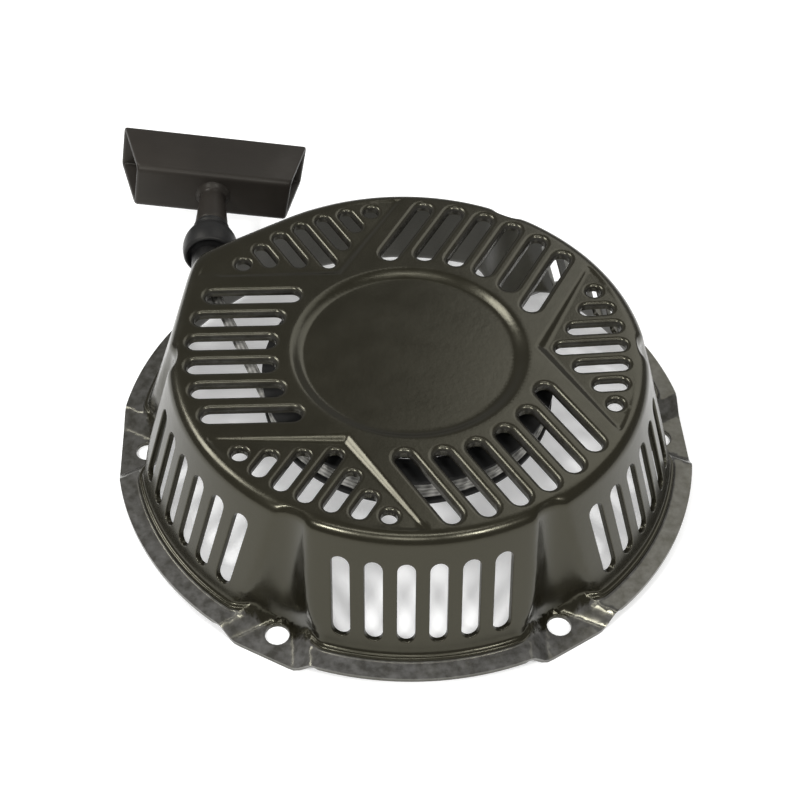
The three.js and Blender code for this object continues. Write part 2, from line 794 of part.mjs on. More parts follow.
const tangent = ropeTangent();
const gripInsideY = gripFrontY + gripWall;
const knotSeatY = gripInsideY + seatGap;
const knotStartY = knotSeatY + handleWasherThickness + 2 * seatGap;

function buildRopeRun() {
  const away = guideEnd.clone().sub(tangent).normalize();
  const start = tangent.clone().addScaledVector(away, ropeRadius);
  const near = tangent.clone().addScaledVector(away, 2 * ropeDiameter);
  const run = tube([
    new THREE.Vector3(start.x, start.y, ropeZ),
    new THREE.Vector3(near.x, near.y, ropeZ),
    new THREE.Vector3(ropeX + ropeDiameter, guideInnerY - 2 * ropeDiameter, ropeZ),
    new THREE.Vector3(ropeX, guideInnerY + 2 * guideMouth, ropeZ),
    new THREE.Vector3(ropeX, guideFaceY, ropeZ),
    new THREE.Vector3(ropeX, knotStartY - seatGap, ropeZ),
  ], ropeRadius, 30);
  const woundRadius = windingRadius + ropeRadius + runGap;
  return solid(run).subtract(solid(rod(woundRadius, reelBottom, reelTop, 48)));
}

add("wound_rope", buildWoundRope(), ropeFibre);
add("rope_run", buildRopeRun(), ropeFibre);

function knot(radius, length) {
  const rounding = radius / 4;
  const profile = [
    [0, 0],
    [radius - rounding, rounding / 2],
    [radius, length / 2],
    [radius - rounding, length - rounding / 2],
    [0, length],
  ];
  return turned(profile, 14);
}

const reelKnotBottom = reelBottom - seatGap - knotInReelLength;
const reelKnot = knot(knotInReelRadius, knotInReelLength).translate(knotCircle, 0, reelKnotBottom);
add("reel_knot", turnedTo(reelKnotAzimuth, reelKnot), ropeFibre);

function buildGuide() {
  return alongRope(turned([
    [guideBore + guideMouth, guideInnerY],
    [guideRadius, guideInnerY],
    [guideRadius, guideFaceY],
    [guideBore + guideMouth, guideFaceY],
    [guideBore, guideFaceY - 2 * guideMouth],
    [guideBore, guideInnerY + 2 * guideMouth],
  ], 24));
}

add("rope_guide", buildGuide(), steel);

// ---------------------------------------------------------------- handle

function buildBumper() {
  const start = guideFaceY + runGap;
  const end = start + bumperLength;
  const bore = ropeRadius + runGap;
  const swell = bumperRadius - bumperNeckRadius;
  return alongRope(turned([
    [bore, start + bumperCup],
    [bumperRadius - 2 * bumperLip, start + bumperCup],
    [bumperRadius - bumperLip, start],
    [bumperRadius, start + bumperCup],
    [bumperRadius - swell * bumperEase, start + bumperLength * bumperBellyAt],
    [bumperNeckRadius + swell * bumperEase, start + bumperLength * bumperNeckAt],
    [bumperNeckRadius, end - bumperLip / 2],
    [bumperNeckRadius, end],
    [bore, end],
  ], 28));
}

function buildGrip() {
  const section = roundedRectangle(gripHeight, gripDepth, gripCorner);
  const inside = roundedRectangle(gripHeight - 2 * gripWall, gripDepth - 2 * gripWall, gripCorner / 2);
  section.holes.push(new THREE.Path(inside.getPoints(3)));
  const tunnel = prism(section, -gripLength / 2, gripLength / 2, 3).rotateY(Math.PI / 2);
  const centreY = gripFrontY + gripDepth / 2;
  const plan = new THREE.Shape([
    new THREE.Vector2(-gripFrontLength / 2, -gripDepth / 2),
    new THREE.Vector2(gripFrontLength / 2, -gripDepth / 2),
    new THREE.Vector2(gripLength / 2, gripDepth / 2),
    new THREE.Vector2(-gripLength / 2, gripDepth / 2),
  ]);
  const trim = prism(plan, -gripHeight, gripHeight);
  const grip = solid(tunnel.translate(0, centreY, 0)).intersect(solid(trim.translate(0, centreY, 0)));
  const boss = turned([
    [0, -bossLength],
    [bossEndRadius, -bossLength],
    [bossNeckRadius, -bossFillet],
    [bossNeckRadius + bossFillet, gripWall / 4],
    [0, gripWall / 4],
  ], 24).rotateX(-Math.PI / 2).rotateY(Math.PI).translate(0, gripFrontY, 0);
  const bore = rod(ropeRadius + runGap, gripFrontY - bossLength - holeReach, gripInsideY + holeReach, 16);
  const ropeBore = bore.rotateX(-Math.PI / 2).rotateY(Math.PI);
  return grip.add(solid(boss)).subtract(solid(ropeBore));
}

add("bumper", buildBumper(), blackRubber);
const grip = add("handle_grip", buildGrip(), darkPlastic);
grip.rotation.y = rad(gripTilt);
grip.position.set(ropeX, 0, ropeZ);

const washerEndY = knotSeatY + handleWasherThickness;
const handleWasher = ring(ropeRadius + runGap, handleWasherRadius, knotSeatY, washerEndY, 24);
const handleKnot = knot(knotInHandleRadius, knotInHandleLength).translate(0, 0, knotStartY);
add("handle_washer", alongRope(handleWasher), steel);
add("handle_knot", alongRope(handleKnot), ropeFibre);

export default parts;
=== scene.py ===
import json
import math
from functools import partial

import bmesh
import bpy
import numpy as np
from mathutils import Matrix, Vector
from mathutils.geometry import delaunay_2d_cdt


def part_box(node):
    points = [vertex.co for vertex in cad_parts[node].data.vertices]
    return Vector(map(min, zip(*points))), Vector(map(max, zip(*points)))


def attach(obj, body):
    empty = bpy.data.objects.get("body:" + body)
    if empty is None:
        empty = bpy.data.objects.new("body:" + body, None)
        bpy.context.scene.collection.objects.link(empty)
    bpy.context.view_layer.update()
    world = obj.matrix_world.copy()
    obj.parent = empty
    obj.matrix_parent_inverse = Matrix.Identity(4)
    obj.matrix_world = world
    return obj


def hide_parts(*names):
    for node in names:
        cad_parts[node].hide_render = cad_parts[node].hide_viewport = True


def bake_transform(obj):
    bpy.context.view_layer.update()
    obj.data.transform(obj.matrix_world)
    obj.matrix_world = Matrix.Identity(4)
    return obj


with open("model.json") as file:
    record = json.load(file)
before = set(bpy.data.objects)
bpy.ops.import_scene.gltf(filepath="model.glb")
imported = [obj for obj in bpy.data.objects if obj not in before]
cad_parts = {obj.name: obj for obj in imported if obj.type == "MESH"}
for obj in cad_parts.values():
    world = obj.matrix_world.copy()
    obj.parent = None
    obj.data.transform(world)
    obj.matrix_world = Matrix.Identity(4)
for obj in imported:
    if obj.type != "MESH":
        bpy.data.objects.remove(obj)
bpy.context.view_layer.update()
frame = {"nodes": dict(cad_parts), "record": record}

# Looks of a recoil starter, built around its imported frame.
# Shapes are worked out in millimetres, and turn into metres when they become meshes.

MM = 0.001
TINY = 1e-9
ON_AXIS = 1e-6  # a radius this small is taken as zero
RECORD = frame["record"]
BODY = {node: body for body, nodes in RECORD["behaviour"]["bodies"].items() for node in nodes}
SLOT = {part["node"]: part["material_slot"] for part in RECORD["subparts"]}


def low(node):
    """Lowest corner of a CAD node, in millimetres."""
    return np.array(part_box(node)[0]) / MM


def high(node):
    """Highest corner of a CAD node, in millimetres."""
    return np.array(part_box(node)[1]) / MM


# ------------------------------------------------------------------ sizes, in millimetres and degrees

# The cover's sheet, and its section from the flat top out to the rim
SHEET = 1.8
TOP_Z = high("cover")[2]
TOP_RADIUS = 86
SHOULDER_BEND = 5.5
WALL_LEAN = math.radians(17.5)
RIM_RADIUS = high("cover")[1]
RIM_WIDTH = 7.4
RIM_TOP = 7.4
RIM_STEP = 1.6
STEP_WIDTH = 0.7
FOOT_ROUNDING = (3.4, 1.0)  # lengths of the section before and after the corner
LEDGE_ROUNDING = (0.45, 0.4)
STEP_ROUNDING = (0.4, 0.5)

# The round recess
DISC_RADIUS = 45.2
DISC_SLOPE = 5.2
DISC_DEPTH = 2

# The ears: a flat pad with a ramp on each side, and a pocket in the wall above
EARS = np.array([0, 60, 180, 240, 300])
EAR_CHORD = 6.6  # half the angle of the straight edge
EAR_HOLE_CIRCLE = RIM_RADIUS - 10.9
EAR_HOLE_RADIUS = 4.5
PAD_APEX_RADIUS = 92.5
PAD_HALF_WIDTH = 12.8
PAD_RAMP = 7.4
PAD_CREASES = (0.0, 0.2, 0.45, 0.7, 1.0)  # shares of the ramp where the mesh has an edge
POCKET_TOP_DEPTH = 1.8
POCKET_FOOT_DEPTH = 8
POCKET_TOP_WIDTH = 6.2
POCKET_WIDENING = 4
POCKET_FLARE = 8
POCKET_ROUNDING = 0.02

# The corner of the cover at the rope's exit
NOSE_AZIMUTH = 146
NOSE_HALF_ANGLE = 26
NOSE_ROUNDING = 2.6
NOSE_FADE = 0.1

# The wedges pressed into the top
WEDGE_AZIMUTHS = (0, 120, 240)
WEDGE_HALF_ANGLE = math.radians(60)
WEDGE_APEX = 48
WEDGE_END = 84
WEDGE_DROP = 1.8
WEDGE_SLOPE = 3.6
WEDGE_SLOPE_LEAST = 0.5

# Openings: fans of slots in the top, slots and round holes in the wedges, fans of slots in the wall
FAN_AZIMUTHS = (60, 180, 300)
FAN_SLOTS = 6
FAN_PITCH = 12.4
FAN_REACH = (54, 80.4)
FAN_SLOT_RADIUS = 3.3
WEDGE_SLOTS = 7  # the two outermost are round holes
WEDGE_PITCH = 10
WEDGE_SLOT_START = 58.5
WEDGE_SLOT_STAGGER = 0.6
WEDGE_SLOT_END = 80.2
WEDGE_SLOT_RADIUS = 2.8
WEDGE_HOLE_RADIUS = 2.9
WALL_FANS = (-90, -30, 30, -150)
WALL_SLOTS = 6
WALL_PITCH = 11.5
WALL_SLOT_Z = (17.55, 43.05)
WALL_SLOT_RADIUS = 3.25
ROLL = 1.6  # radius of the rolled-in rims of the top's openings
FAN_ROLL = 2.1
NICK = 0.4  # the same where an opening is only punched
GUARD = 0.35  # flat ring kept round each rim
SAMPLE_GAP = 1.0  # least room between a rim and the points that fill the sheet
CREASE_GAP = 0.7
BORDER = -1  # marks the sheet's outer edge among the numbers of the openings

# Lighter paint: a painted highlight on the rolled rims of the openings, and thin paint on the outer ring that
# grows lighter from back to front
RIM_HIGHLIGHT = 0.4
RING_WEAR = 0.75
RING_FRONT_LIGHTENING = 0.25

# Handle and rope
GRIP_BACK = 80
GRIP_FRONT = 65
GRIP_DEPTH = 28
GRIP_HEIGHT = 22
GRIP_CORNER = 3
GRIP_WALL = 2.4
GRIP_RIM = 1.1
GRIP_TILT = 9
ROPE = 4.5
CORD_BORE = ROPE / 2 + 0.3
LEAD_OVERLAP = 9  # how far the rope's lead runs into the guide
GUIDE_OVERLAP = 1.9  # how far the sheet reaches into the guide's wall

# Reel and pawls
REEL_FLOOR = 46.2
REEL_HUB = 12
SPRING_CAVITY = 40
REEL_RIBS = 10
REEL_RIB_WIDTH = 1.6
REEL_RIB_HEIGHT = 1.5
SCREW_CIRCLE = 43.1
PAWL_CIRCLE = 24


def wrap(degrees):
    return (np.asarray(degrees) + 180) % 360 - 180


def smooth(value):
    value = np.clip(value, 0, 1)
    return value * value * (3 - 2 * value)


# ------------------------------------------------------------------ cover: one sheet, laid flat and pressed


def rounded_profile(corners, roundings, step=0.15):
    """Dense points of a polyline whose corners are rounded by (length before, length after)."""
    corners = [np.array(c, float) for c in corners]
    pieces = [corners[0]]
    for i, (before, after) in enumerate(roundings, start=1):
        corner = corners[i]
        start = corner + (corners[i - 1] - corner) * before / np.linalg.norm(corners[i - 1] - corner)
        end = corner + (corners[i + 1] - corner) * after / np.linalg.norm(corners[i + 1] - corner)
        for t in np.linspace(0, 1, 12):
            pieces.append((1 - t) ** 2 * start + 2 * t * (1 - t) * corner + t * t * end)
    pieces.append(corners[-1])
    points = np.array(pieces)
    length = np.concatenate([[0], np.cumsum(np.linalg.norm(np.diff(points, axis=0), axis=1))])
    even = np.arange(0, length[-1] + step / 2, step)
    return even, np.interp(even, length, points[:, 0]), np.interp(even, length, points[:, 1])


LEDGE = RIM_TOP + RIM_STEP
RIM_INNER = RIM_RADIUS - RIM_WIDTH
BEND_REACH = SHOULDER_BEND * math.tan((math.pi / 2 - WALL_LEAN) / 2)
FOOT_RADIUS = TOP_RADIUS + BEND_REACH + (TOP_Z - LEDGE) * math.tan(WALL_LEAN)
# Length along the section from the top's edge, radius there, height there
SECTION = rounded_profile(
    [
        (TOP_RADIUS, TOP_Z),
        (TOP_RADIUS + BEND_REACH, TOP_Z),
        (FOOT_RADIUS, LEDGE),
        (RIM_INNER, LEDGE),
        (RIM_INNER + STEP_WIDTH, RIM_TOP),
        (RIM_RADIUS, RIM_TOP),
    ],
    [(BEND_REACH, BEND_REACH), FOOT_ROUNDING, LEDGE_ROUNDING, STEP_ROUNDING],
)
SECTION_END = SECTION[0][-1]
FOOT_S = float(SECTION[0][np.argmax(SECTION[1] > FOOT_RADIUS)])
STEP_S = float(SECTION[0][np.argmax(SECTION[1] > RIM_INNER + STEP_WIDTH)])
WALL_S = SECTION[0] < FOOT_S


def nose_scale(azimuth):
    off = np.hypot(wrap(azimuth - NOSE_AZIMUTH), NOSE_ROUNDING)
    return 1 / np.cos(np.radians(np.maximum(NOSE_HALF_ANGLE - off, 0)))


def ear_offset(azimuth):
    """Angle to the nearest ear, in radians."""
    return np.radians(np.min(np.abs(wrap(np.asarray(azimuth)[..., None] - EARS)), axis=-1))


def pad_side(x, y):
    """Distance out from an ear's flat pad, as a share of the ramp beside it."""
    half = PAD_HALF_WIDTH * np.clip((x - PAD_APEX_RADIUS) / (RIM_RADIUS - PAD_APEX_RADIUS), 0, 1)
    return (y - half) / PAD_RAMP


def pocket(depth_share, lateral):
    """How far the wall steps in above an ear."""
    width = POCKET_TOP_WIDTH + POCKET_WIDENING * depth_share + POCKET_FLARE * depth_share**4
    depth = POCKET_TOP_DEPTH + (POCKET_FOOT_DEPTH - POCKET_TOP_DEPTH) * depth_share
    rise = 1 - (lateral / width) ** 2
    return depth * (rise + np.sqrt(rise * rise + POCKET_ROUNDING)) / 2


def top_relief(x, y):
    """Depth of the round recess and of the three wedges below the flat top."""
    radius = np.hypot(x, y)
    sink = DISC_DEPTH * smooth((DISC_RADIUS - radius) / DISC_SLOPE)
    for azimuth in WEDGE_AZIMUTHS:
        a = math.radians(azimuth)
        along = x * math.cos(a) + y * math.sin(a)
        across = np.abs(-x * math.sin(a) + y * math.cos(a))
        share = np.clip((WEDGE_END - along) / (WEDGE_END - WEDGE_APEX), 0, 1)
        inside = (along - WEDGE_APEX) * math.sin(WEDGE_HALF_ANGLE) - across * math.cos(WEDGE_HALF_ANGLE)
        sink = sink + WEDGE_DROP * share * smooth(inside / (WEDGE_SLOPE_LEAST + WEDGE_SLOPE * share))
    return sink


def press(flat):
    """Places on the laid-out sheet to places on the pressed cover."""
    x, y = flat[:, 0], flat[:, 1]
    azimuth = np.degrees(np.arctan2(y, x))
    nose = nose_scale(azimuth)
    s = np.hypot(x, y) - TOP_RADIUS * nose
    radius = np.interp(s, SECTION[0], SECTION[1])
    height = np.interp(s, SECTION[0], SECTION[2])
    share = np.clip((TOP_Z - height) / (TOP_Z - LEDGE), 0, 1)
    off = ear_offset(azimuth)
    outwards = np.clip((s - FOOT_S) / (SECTION_END - FOOT_S), 0, 1)
    nose_here = 1 + (nose - 1) * (1 + (NOSE_FADE - 1) * share) * (1 - smooth(outwards * 3))
    lateral = radius * np.sin(np.minimum(off, 1))
    pull = pocket(share, lateral) * smooth(s / BEND_REACH) * (1 - outwards)
    chord = RIM_RADIUS * (1 - math.cos(math.radians(EAR_CHORD)) / np.cos(off))
    radius = radius * nose_here - pull - np.maximum(chord, 0) * outwards
    foot = FOOT_RADIUS - pocket(1, FOOT_RADIUS * np.sin(np.minimum(off, 1)))
    anchor = np.where(s < FOOT_S, foot, radius)
    beside = np.clip(pad_side(anchor * np.cos(off), anchor * np.sin(off)), 0, 1)
    ramp = (beside + smooth(beside)) / 2
    foot_height = SHEET + (LEDGE - SHEET) * ramp
    on_wall = TOP_Z - (TOP_Z - height) * (TOP_Z - foot_height) / (TOP_Z - LEDGE)
    on_rim = SHEET + (height - SHEET) * ramp
    z = np.where(s < FOOT_S, on_wall, on_rim)
    a = np.radians(azimuth)
    pressed = np.stack([radius * np.cos(a), radius * np.sin(a), z], axis=1)
    top = np.stack([x, y, TOP_Z - top_relief(x, y)], axis=1)
    return np.where((s <= 0)[:, None], top, pressed)


def capsule(start, end, radius, straight_step=2.6, arc_steps=9):
    """Outline of a slot with round ends, or of a circle where both ends are one point."""
    start, end = np.array(start, float), np.array(end, float)
    along = end - start
    length = np.linalg.norm(along)
    angle = math.atan2(along[1], along[0]) if length else 0
    points = []
    for centre, turn in ((end, angle - math.pi / 2), (start, angle + math.pi / 2)):
        for k in range(arc_steps + 1):
            a = turn + math.pi * k / arc_steps
            points.append(centre + radius * np.array([math.cos(a), math.sin(a)]))
        side = (start - end) if centre is end else (end - start)
        steps = int(length // straight_step)
        last = points[-1]
        points += [last + side * k / steps for k in range(1, steps)]
    if not length:
        points = points[:arc_steps] + points[arc_steps + 1:-1]
    return np.array(points)


def row(count, pitch):
    return [(i - (count - 1) / 2) * pitch for i in range(count)]


def turned(points, azimuth):
    a = math.radians(azimuth)
    return points @ np.array([[math.cos(a), math.sin(a)], [-math.sin(a), math.cos(a)]])


class Opening:
    """An opening's end centres, radius and rim, and the function that lays it on the flat sheet."""

    RIM_DEGREES = (82, 62, 42, 21, 0)  # round the rolled rim, from the opening's edge out to the flat

    def __init__(self, start, end, radius, rim, lay):
        self.start = start
        self.end = end
        self.radius = radius
        self.rim = rim
        self.lay = lay

    def loops(self):
        """(outline on the sheet, depth) from the opening's edge outwards."""
        for degrees in self.RIM_DEGREES:
            phi = math.radians(degrees)
            outline = capsule(self.start, self.end, self.radius + self.rim * (1 - math.sin(phi)))
            yield self.lay(outline), self.rim * (1 - math.cos(phi))
        yield self.lay(capsule(self.start, self.end, self.radius + self.rim + GUARD)), 0.0

    def distance(self, points):
        """How far points are from the opening's edge, seen square on."""
        start = np.array(self.start, float)
        along = np.array(self.end, float) - start
        t = np.clip((points - start) @ along / max(along @ along, TINY), 0, 1)
        return np.linalg.norm(points - start - t[:, None] * along, axis=1) - self.radius


def top_openings():
    found = []
    for azimuth in FAN_AZIMUTHS:
        lay = partial(turned, azimuth=azimuth)
        for y in row(FAN_SLOTS, FAN_PITCH):
            start, end = ((math.sqrt(radius**2 - y * y), y) for radius in FAN_REACH)
            found.append((azimuth, Opening(start, end, FAN_SLOT_RADIUS, FAN_ROLL, lay)))
    for azimuth in WEDGE_AZIMUTHS:
        lay = partial(turned, azimuth=azimuth)
        for y in row(WEDGE_SLOTS, WEDGE_PITCH):
            start = (WEDGE_SLOT_START + WEDGE_SLOT_STAGGER * abs(y), y)
            end = (math.sqrt(WEDGE_SLOT_END**2 - y * y), y)
            radius = WEDGE_SLOT_RADIUS
            if abs(y) > WEDGE_PITCH * (WEDGE_SLOTS - 2) / 2:
                start = end
                radius = WEDGE_HOLE_RADIUS
            found.append((azimuth, Opening(start, end, radius, ROLL, lay)))
    return found


def wall_to_sheet(points, azimuth):
    """(y, z) on the wall seen square on, to the laid-out sheet."""
    y, z = points[:, 0], points[:, 1]
    wall_s, wall_r, wall_z = (column[WALL_S][::-1] for column in SECTION)
    radius = np.interp(z, wall_z, wall_r)
    angle = np.radians(azimuth) + np.arcsin(y / radius)
    rho = TOP_RADIUS * nose_scale(np.degrees(angle)) + np.interp(z, wall_z, wall_s)
    return np.stack([rho * np.cos(angle), rho * np.sin(angle)], axis=1)


def wall_openings():
    found = []
    for azimuth in WALL_FANS:
        lay = partial(wall_to_sheet, azimuth=azimuth)
        for y in row(WALL_SLOTS, WALL_PITCH):
            start, end = ((y, z) for z in WALL_SLOT_Z)
            found.append((azimuth, Opening(start, end, WALL_SLOT_RADIUS, NICK, lay)))
    return found


def ear_hole_to_sheet(points, azimuth, rounds=40, pace=0.5):
    """(x, y) beside the hole's centre, to the laid-out sheet, by closing in on the place."""
    goal = turned(points + np.array([EAR_HOLE_CIRCLE, 0]), azimuth)
    rim = TOP_RADIUS + (FOOT_S + SECTION_END) / 2
    guess = goal / np.linalg.norm(goal, axis=1)[:, None] * rim
    for _ in range(rounds):
        guess = guess + (goal - press(guess)[:, :2]) * pace
    return guess


def ear_openings():
    found = []
    for azimuth in EARS:
        lay = partial(ear_hole_to_sheet, azimuth=azimuth)
        found.append((azimuth, Opening((0, 0), (0, 0), EAR_HOLE_RADIUS, NICK, lay)))
    return found


def on_ray(azimuths, s):
    a = np.radians(azimuths)
    rho = TOP_RADIUS * nose_scale(azimuths) + s
    return np.stack([rho * np.cos(a), rho * np.sin(a)], axis=1)


def pad_creases(search_step=0.02, first=0.4, last=14, spacing=0.45):
    """Lines on the sheet along the ramp beside each ear's pad, one for each set share of its width."""
    lines = []
    fine = np.arange(FOOT_S, SECTION_END, search_step)
    for level in PAD_CREASES:
        for ear in EARS:
            for side in (-1, 1):
                line = []
                for off in np.arange(first, last, spacing):
                    ray = on_ray(np.full(len(fine), ear + side * off), fine)
                    placed = press(ray)
                    radius = np.hypot(placed[:, 0], placed[:, 1])
                    a = math.radians(off)
                    above = pad_side(radius * math.cos(a), radius * math.sin(a)) - level
                    crossing = np.nonzero(np.diff(np.sign(above)))[0]
                    if len(crossing):
                        line.append(ray[crossing[0]])
                lines.extend(clear_of_ear_holes(np.array(line).reshape(-1, 2)))
    return lines


def clear_of_ear_holes(line, margin=0.8):
    """The stretches of a line on the sheet that keep away from the ear holes."""
    placed = press(line)[:, :2]
    keep = np.ones(len(line), bool)
    for azimuth in EARS:
        a = math.radians(azimuth)
        centre = EAR_HOLE_CIRCLE * np.array([math.cos(a), math.sin(a)])
        keep &= np.linalg.norm(placed - centre, axis=1) > EAR_HOLE_RADIUS + NICK + margin
    breaks = np.nonzero(np.diff(keep.astype(int)))[0] + 1
    stretches = zip(np.split(line, breaks), np.split(keep, breaks))
    return [points for points, kept in stretches if kept.all() and len(points) > 1]


def wedge_creases(margin=0.7, end_margin=0.5, length=62):
    """Lines on the sheet down the slope beside each wedge, and just outside and inside the slope."""
    lines = []
    levels = [(0, -margin), (0, 0), (0.25, 0), (0.5, 0), (0.75, 0), (1, 0), (1, margin)]
    t = np.linspace(0, length, length + 1)
    along = t / 2
    across = t * math.sin(WEDGE_HALF_ANGLE)
    share = np.clip(1 - along / (WEDGE_END - WEDGE_APEX), 0, 1)
    for azimuth in WEDGE_AZIMUTHS:
        for level, beyond in levels:
            inset = level * (WEDGE_SLOPE_LEAST + WEDGE_SLOPE * share) + beyond
            start = WEDGE_APEX + inset / math.sin(WEDGE_HALF_ANGLE)
            for side in (-1, 1):
                points = np.stack([start + along, side * across], axis=1)
                points = points[np.hypot(points[:, 0], points[:, 1]) < WEDGE_END - end_margin]
                lines.append(turned(points, azimuth))
    return lines


def sheet_samples():
    """Points on the sheet: rings on the top, then stations down the wall and rim, closest at the bends."""
    slope = DISC_RADIUS - DISC_SLOPE
    rings = [6, 12, 18, 24, 30, 35, 38.5]
    rings += [slope + step for step in (-0.4, 0, 0.6, 1.4, 2.6, 3.8)]
    rings += [DISC_RADIUS + step for step in (-0.6, 0, 0.5)]
    rings += list(np.arange(DISC_RADIUS + 1.8, TOP_RADIUS - 2, 2.2))
    points = [np.zeros((1, 2))]
    for radius in rings:
        count = max(12, int(math.pi * radius))
        a = 2 * math.pi * (np.arange(count) + 0.5 * (len(points) % 2)) / count
        points.append(np.stack([radius * np.cos(a), radius * np.sin(a)], axis=1))
    bend_end = 2 * BEND_REACH
    stations = [-2.2, -1.2, -0.4]
    stations += list(np.arange(0.4, bend_end, 0.75))
    stations += list(np.arange(bend_end + 0.8, FOOT_S - 4, 2.1))
    stations += list(np.arange(FOOT_S - 3.6, FOOT_S + 1.2, 0.6))
    stations += list(np.arange(FOOT_S + 1.3, STEP_S + 0.6, 0.28))
    stations += [STEP_S + 1.2, STEP_S + 2.4]
    stations += list(np.linspace(STEP_S + 3.6, SECTION_END - 0.5, 4))
    azimuths = np.arange(0, 360, 1.0)
    points += [on_ray(azimuths, s) for s in stations]
    return np.concatenate(points), on_ray(azimuths, SECTION_END)


class Layout:
    """What is drawn on the flat sheet: points, each one's depth and the opening it bounds, and edges."""

    def __init__(self):
        self.points = []
        self.sinks = []
        self.holes = []
        self.edges = []

    def add_points(self, line, sink=0.0, hole=0):
        first = len(self.points)
        self.points.extend(line)
        self.sinks.extend([sink] * len(line))
        self.holes.extend([hole] * len(line))
        return first

    def add_line(self, line):
        first = self.add_points(line)
        self.edges.extend((first + i, first + i + 1) for i in range(len(line) - 1))

    def add_loop(self, outline, sink, hole):
        first = self.add_points(outline, sink, hole)
        count = len(outline)
        self.edges.extend((first + i, first + (i + 1) % count) for i in range(count))


def samples_near(kind, azimuth, opening, samples, pressed):
    """Which samples are too close to an opening: on the sheet for the top, on the pressed cover elsewhere."""
    clear = opening.rim + SAMPLE_GAP
    if kind == "top":
        return opening.distance(turned(samples, -azimuth)) < clear
    seen = turned(pressed[:, :2], -azimuth)
    if kind == "wall":
        on_wall = np.stack([seen[:, 1], pressed[:, 2]], axis=1)
        return (opening.distance(on_wall) < clear) & (seen[:, 0] > 0)
    near = opening.distance(seen - np.array([EAR_HOLE_CIRCLE, 0])) < clear
    return near & (np.hypot(samples[:, 0], samples[:, 1]) > TOP_RADIUS + FOOT_S)


def laid_out_sheet():
    """The flat sheet's points, their depths, and the triangles between its openings."""
    layout = Layout()
    samples, border = sheet_samples()
    pressed = press(samples)
    keep = np.ones(len(samples), bool)
    number = 0
    for kind, found in (("top", top_openings()), ("wall", wall_openings()), ("ear", ear_openings())):
        for azimuth, opening in found:
            keep &= ~samples_near(kind, azimuth, opening, samples, pressed)
            number += 1
            for i, (outline, sink) in enumerate(opening.loops()):
                layout.add_loop(outline, sink, number if i == 0 else 0)
    for line in wedge_creases() + pad_creases():
        gap = np.min(np.linalg.norm(samples[:, None, :] - line[None, :, :], axis=2), axis=1)
        keep &= gap > CREASE_GAP
        layout.add_line(line)
    layout.add_loop(border, 0.0, BORDER)
    layout.add_points(samples[keep])

    points = [Vector(p) for p in layout.points]
    flat, _, triangles, origins, _, _ = delaunay_2d_cdt(points, layout.edges, [], 0, 1e-5)
    flat = np.array([tuple(p) for p in flat])
    sink = np.array([max((layout.sinks[i] for i in o), default=0.0) for o in origins])
    hole = np.array([next((layout.holes[i] for i in o if layout.holes[i]), 0) for o in origins])
    triangles = np.array(triangles)
    first, second, third = hole[triangles].T
    filling = (first != 0) & (first == second) & (second == third)
    return flat, sink, triangles[~filling]


def build_cover():
    """Vertices, faces and lighter-paint mask of the cover (painted highlight on the rims, thin paint on the
    outer ring): the sheet's outer face, its inner face and their edges.
    """
    flat, sink, triangles = laid_out_sheet()
    base = press(flat)
    middle = base[triangles].mean(axis=1)
    from_rope = np.hypot(middle[:, 0] - ROPE_X, middle[:, 2] - ROPE_Z)
    triangles = triangles[(from_rope > GUIDE_RADIUS - GUIDE_OVERLAP) | (middle[:, 1] < 0)]

    normal = np.zeros_like(base)
    a, b, c = (base[triangles[:, k]] for k in range(3))
    face = np.cross(b - a, c - a)
    for k in range(3):
        np.add.at(normal, triangles[:, k], face)
    normal /= np.maximum(np.linalg.norm(normal, axis=1), TINY)[:, None]
    outer = base - normal * sink[:, None]
    inner = outer - normal * SHEET
    inner[:, 2] = np.maximum(inner[:, 2], 0)

    count = len(base)
    directed = dict.fromkeys((int(t[i]), int(t[(i + 1) % 3])) for t in triangles for i in range(3))
    faces = [tuple(int(v) for v in t) for t in triangles]
    faces += [tuple(int(v) + count for v in t[::-1]) for t in triangles]
    faces += [(j, i, i + count, j + count) for i, j in directed if (j, i) not in directed]

    azimuth = np.degrees(np.arctan2(flat[:, 1], flat[:, 0]))
    s = np.hypot(flat[:, 0], flat[:, 1]) - TOP_RADIUS * nose_scale(azimuth)
    # Painted highlight: lighter paint down the rolled rims of the openings, most at their edges.
    painted_rim_highlight = np.clip(sink / ROLL, 0, 1) * RIM_HIGHLIGHT
    # Lighter paint on the outer ring, lighter still towards the front.
    on_ring = RING_WEAR - RING_FRONT_LIGHTENING * base[:, 1] / RIM_RADIUS
    wear_and_highlight = np.maximum(painted_rim_highlight, np.where(s > STEP_S - 0.6, on_ring, 0))
    return np.concatenate([outer, inner]), faces, np.concatenate([wear_and_highlight, np.zeros(count)])


# ------------------------------------------------------------------ materials


def tree_of(name):
    material = bpy.data.materials.new(name)
    material.use_nodes = True
    nodes = material.node_tree.nodes
    nodes.clear()
    shader = nodes.new("ShaderNodeBsdfPrincipled")
    output = nodes.new("ShaderNodeOutputMaterial")
    material.node_tree.links.new(shader.outputs["BSDF"], output.inputs["Surface"])
    return material, shader


def plug(material, socket, value):
    """Sets a socket to a constant, or links another node's output to it."""
    if isinstance(value, bpy.types.NodeSocket):
        material.node_tree.links.new(value, socket)
    else:
        socket.default_value = value


def node(material, kind, inputs=None, output=0, **settings):
    made = material.node_tree.nodes.new("ShaderNode" + kind)
    for key, value in settings.items():
        setattr(made, key, value)
    for key, value in (inputs or {}).items():
        plug(material, made.inputs[key], value)
    return made.outputs[output]


def place(material):
    return node(material, "TexCoord", output="Object")


def noise(material, scale, detail=4.0, roughness=0.55, where=None):
    inputs = {"Vector": where or place(material), "Scale": scale, "Detail": detail, "Roughness": roughness}
    return node(material, "TexNoise", inputs)


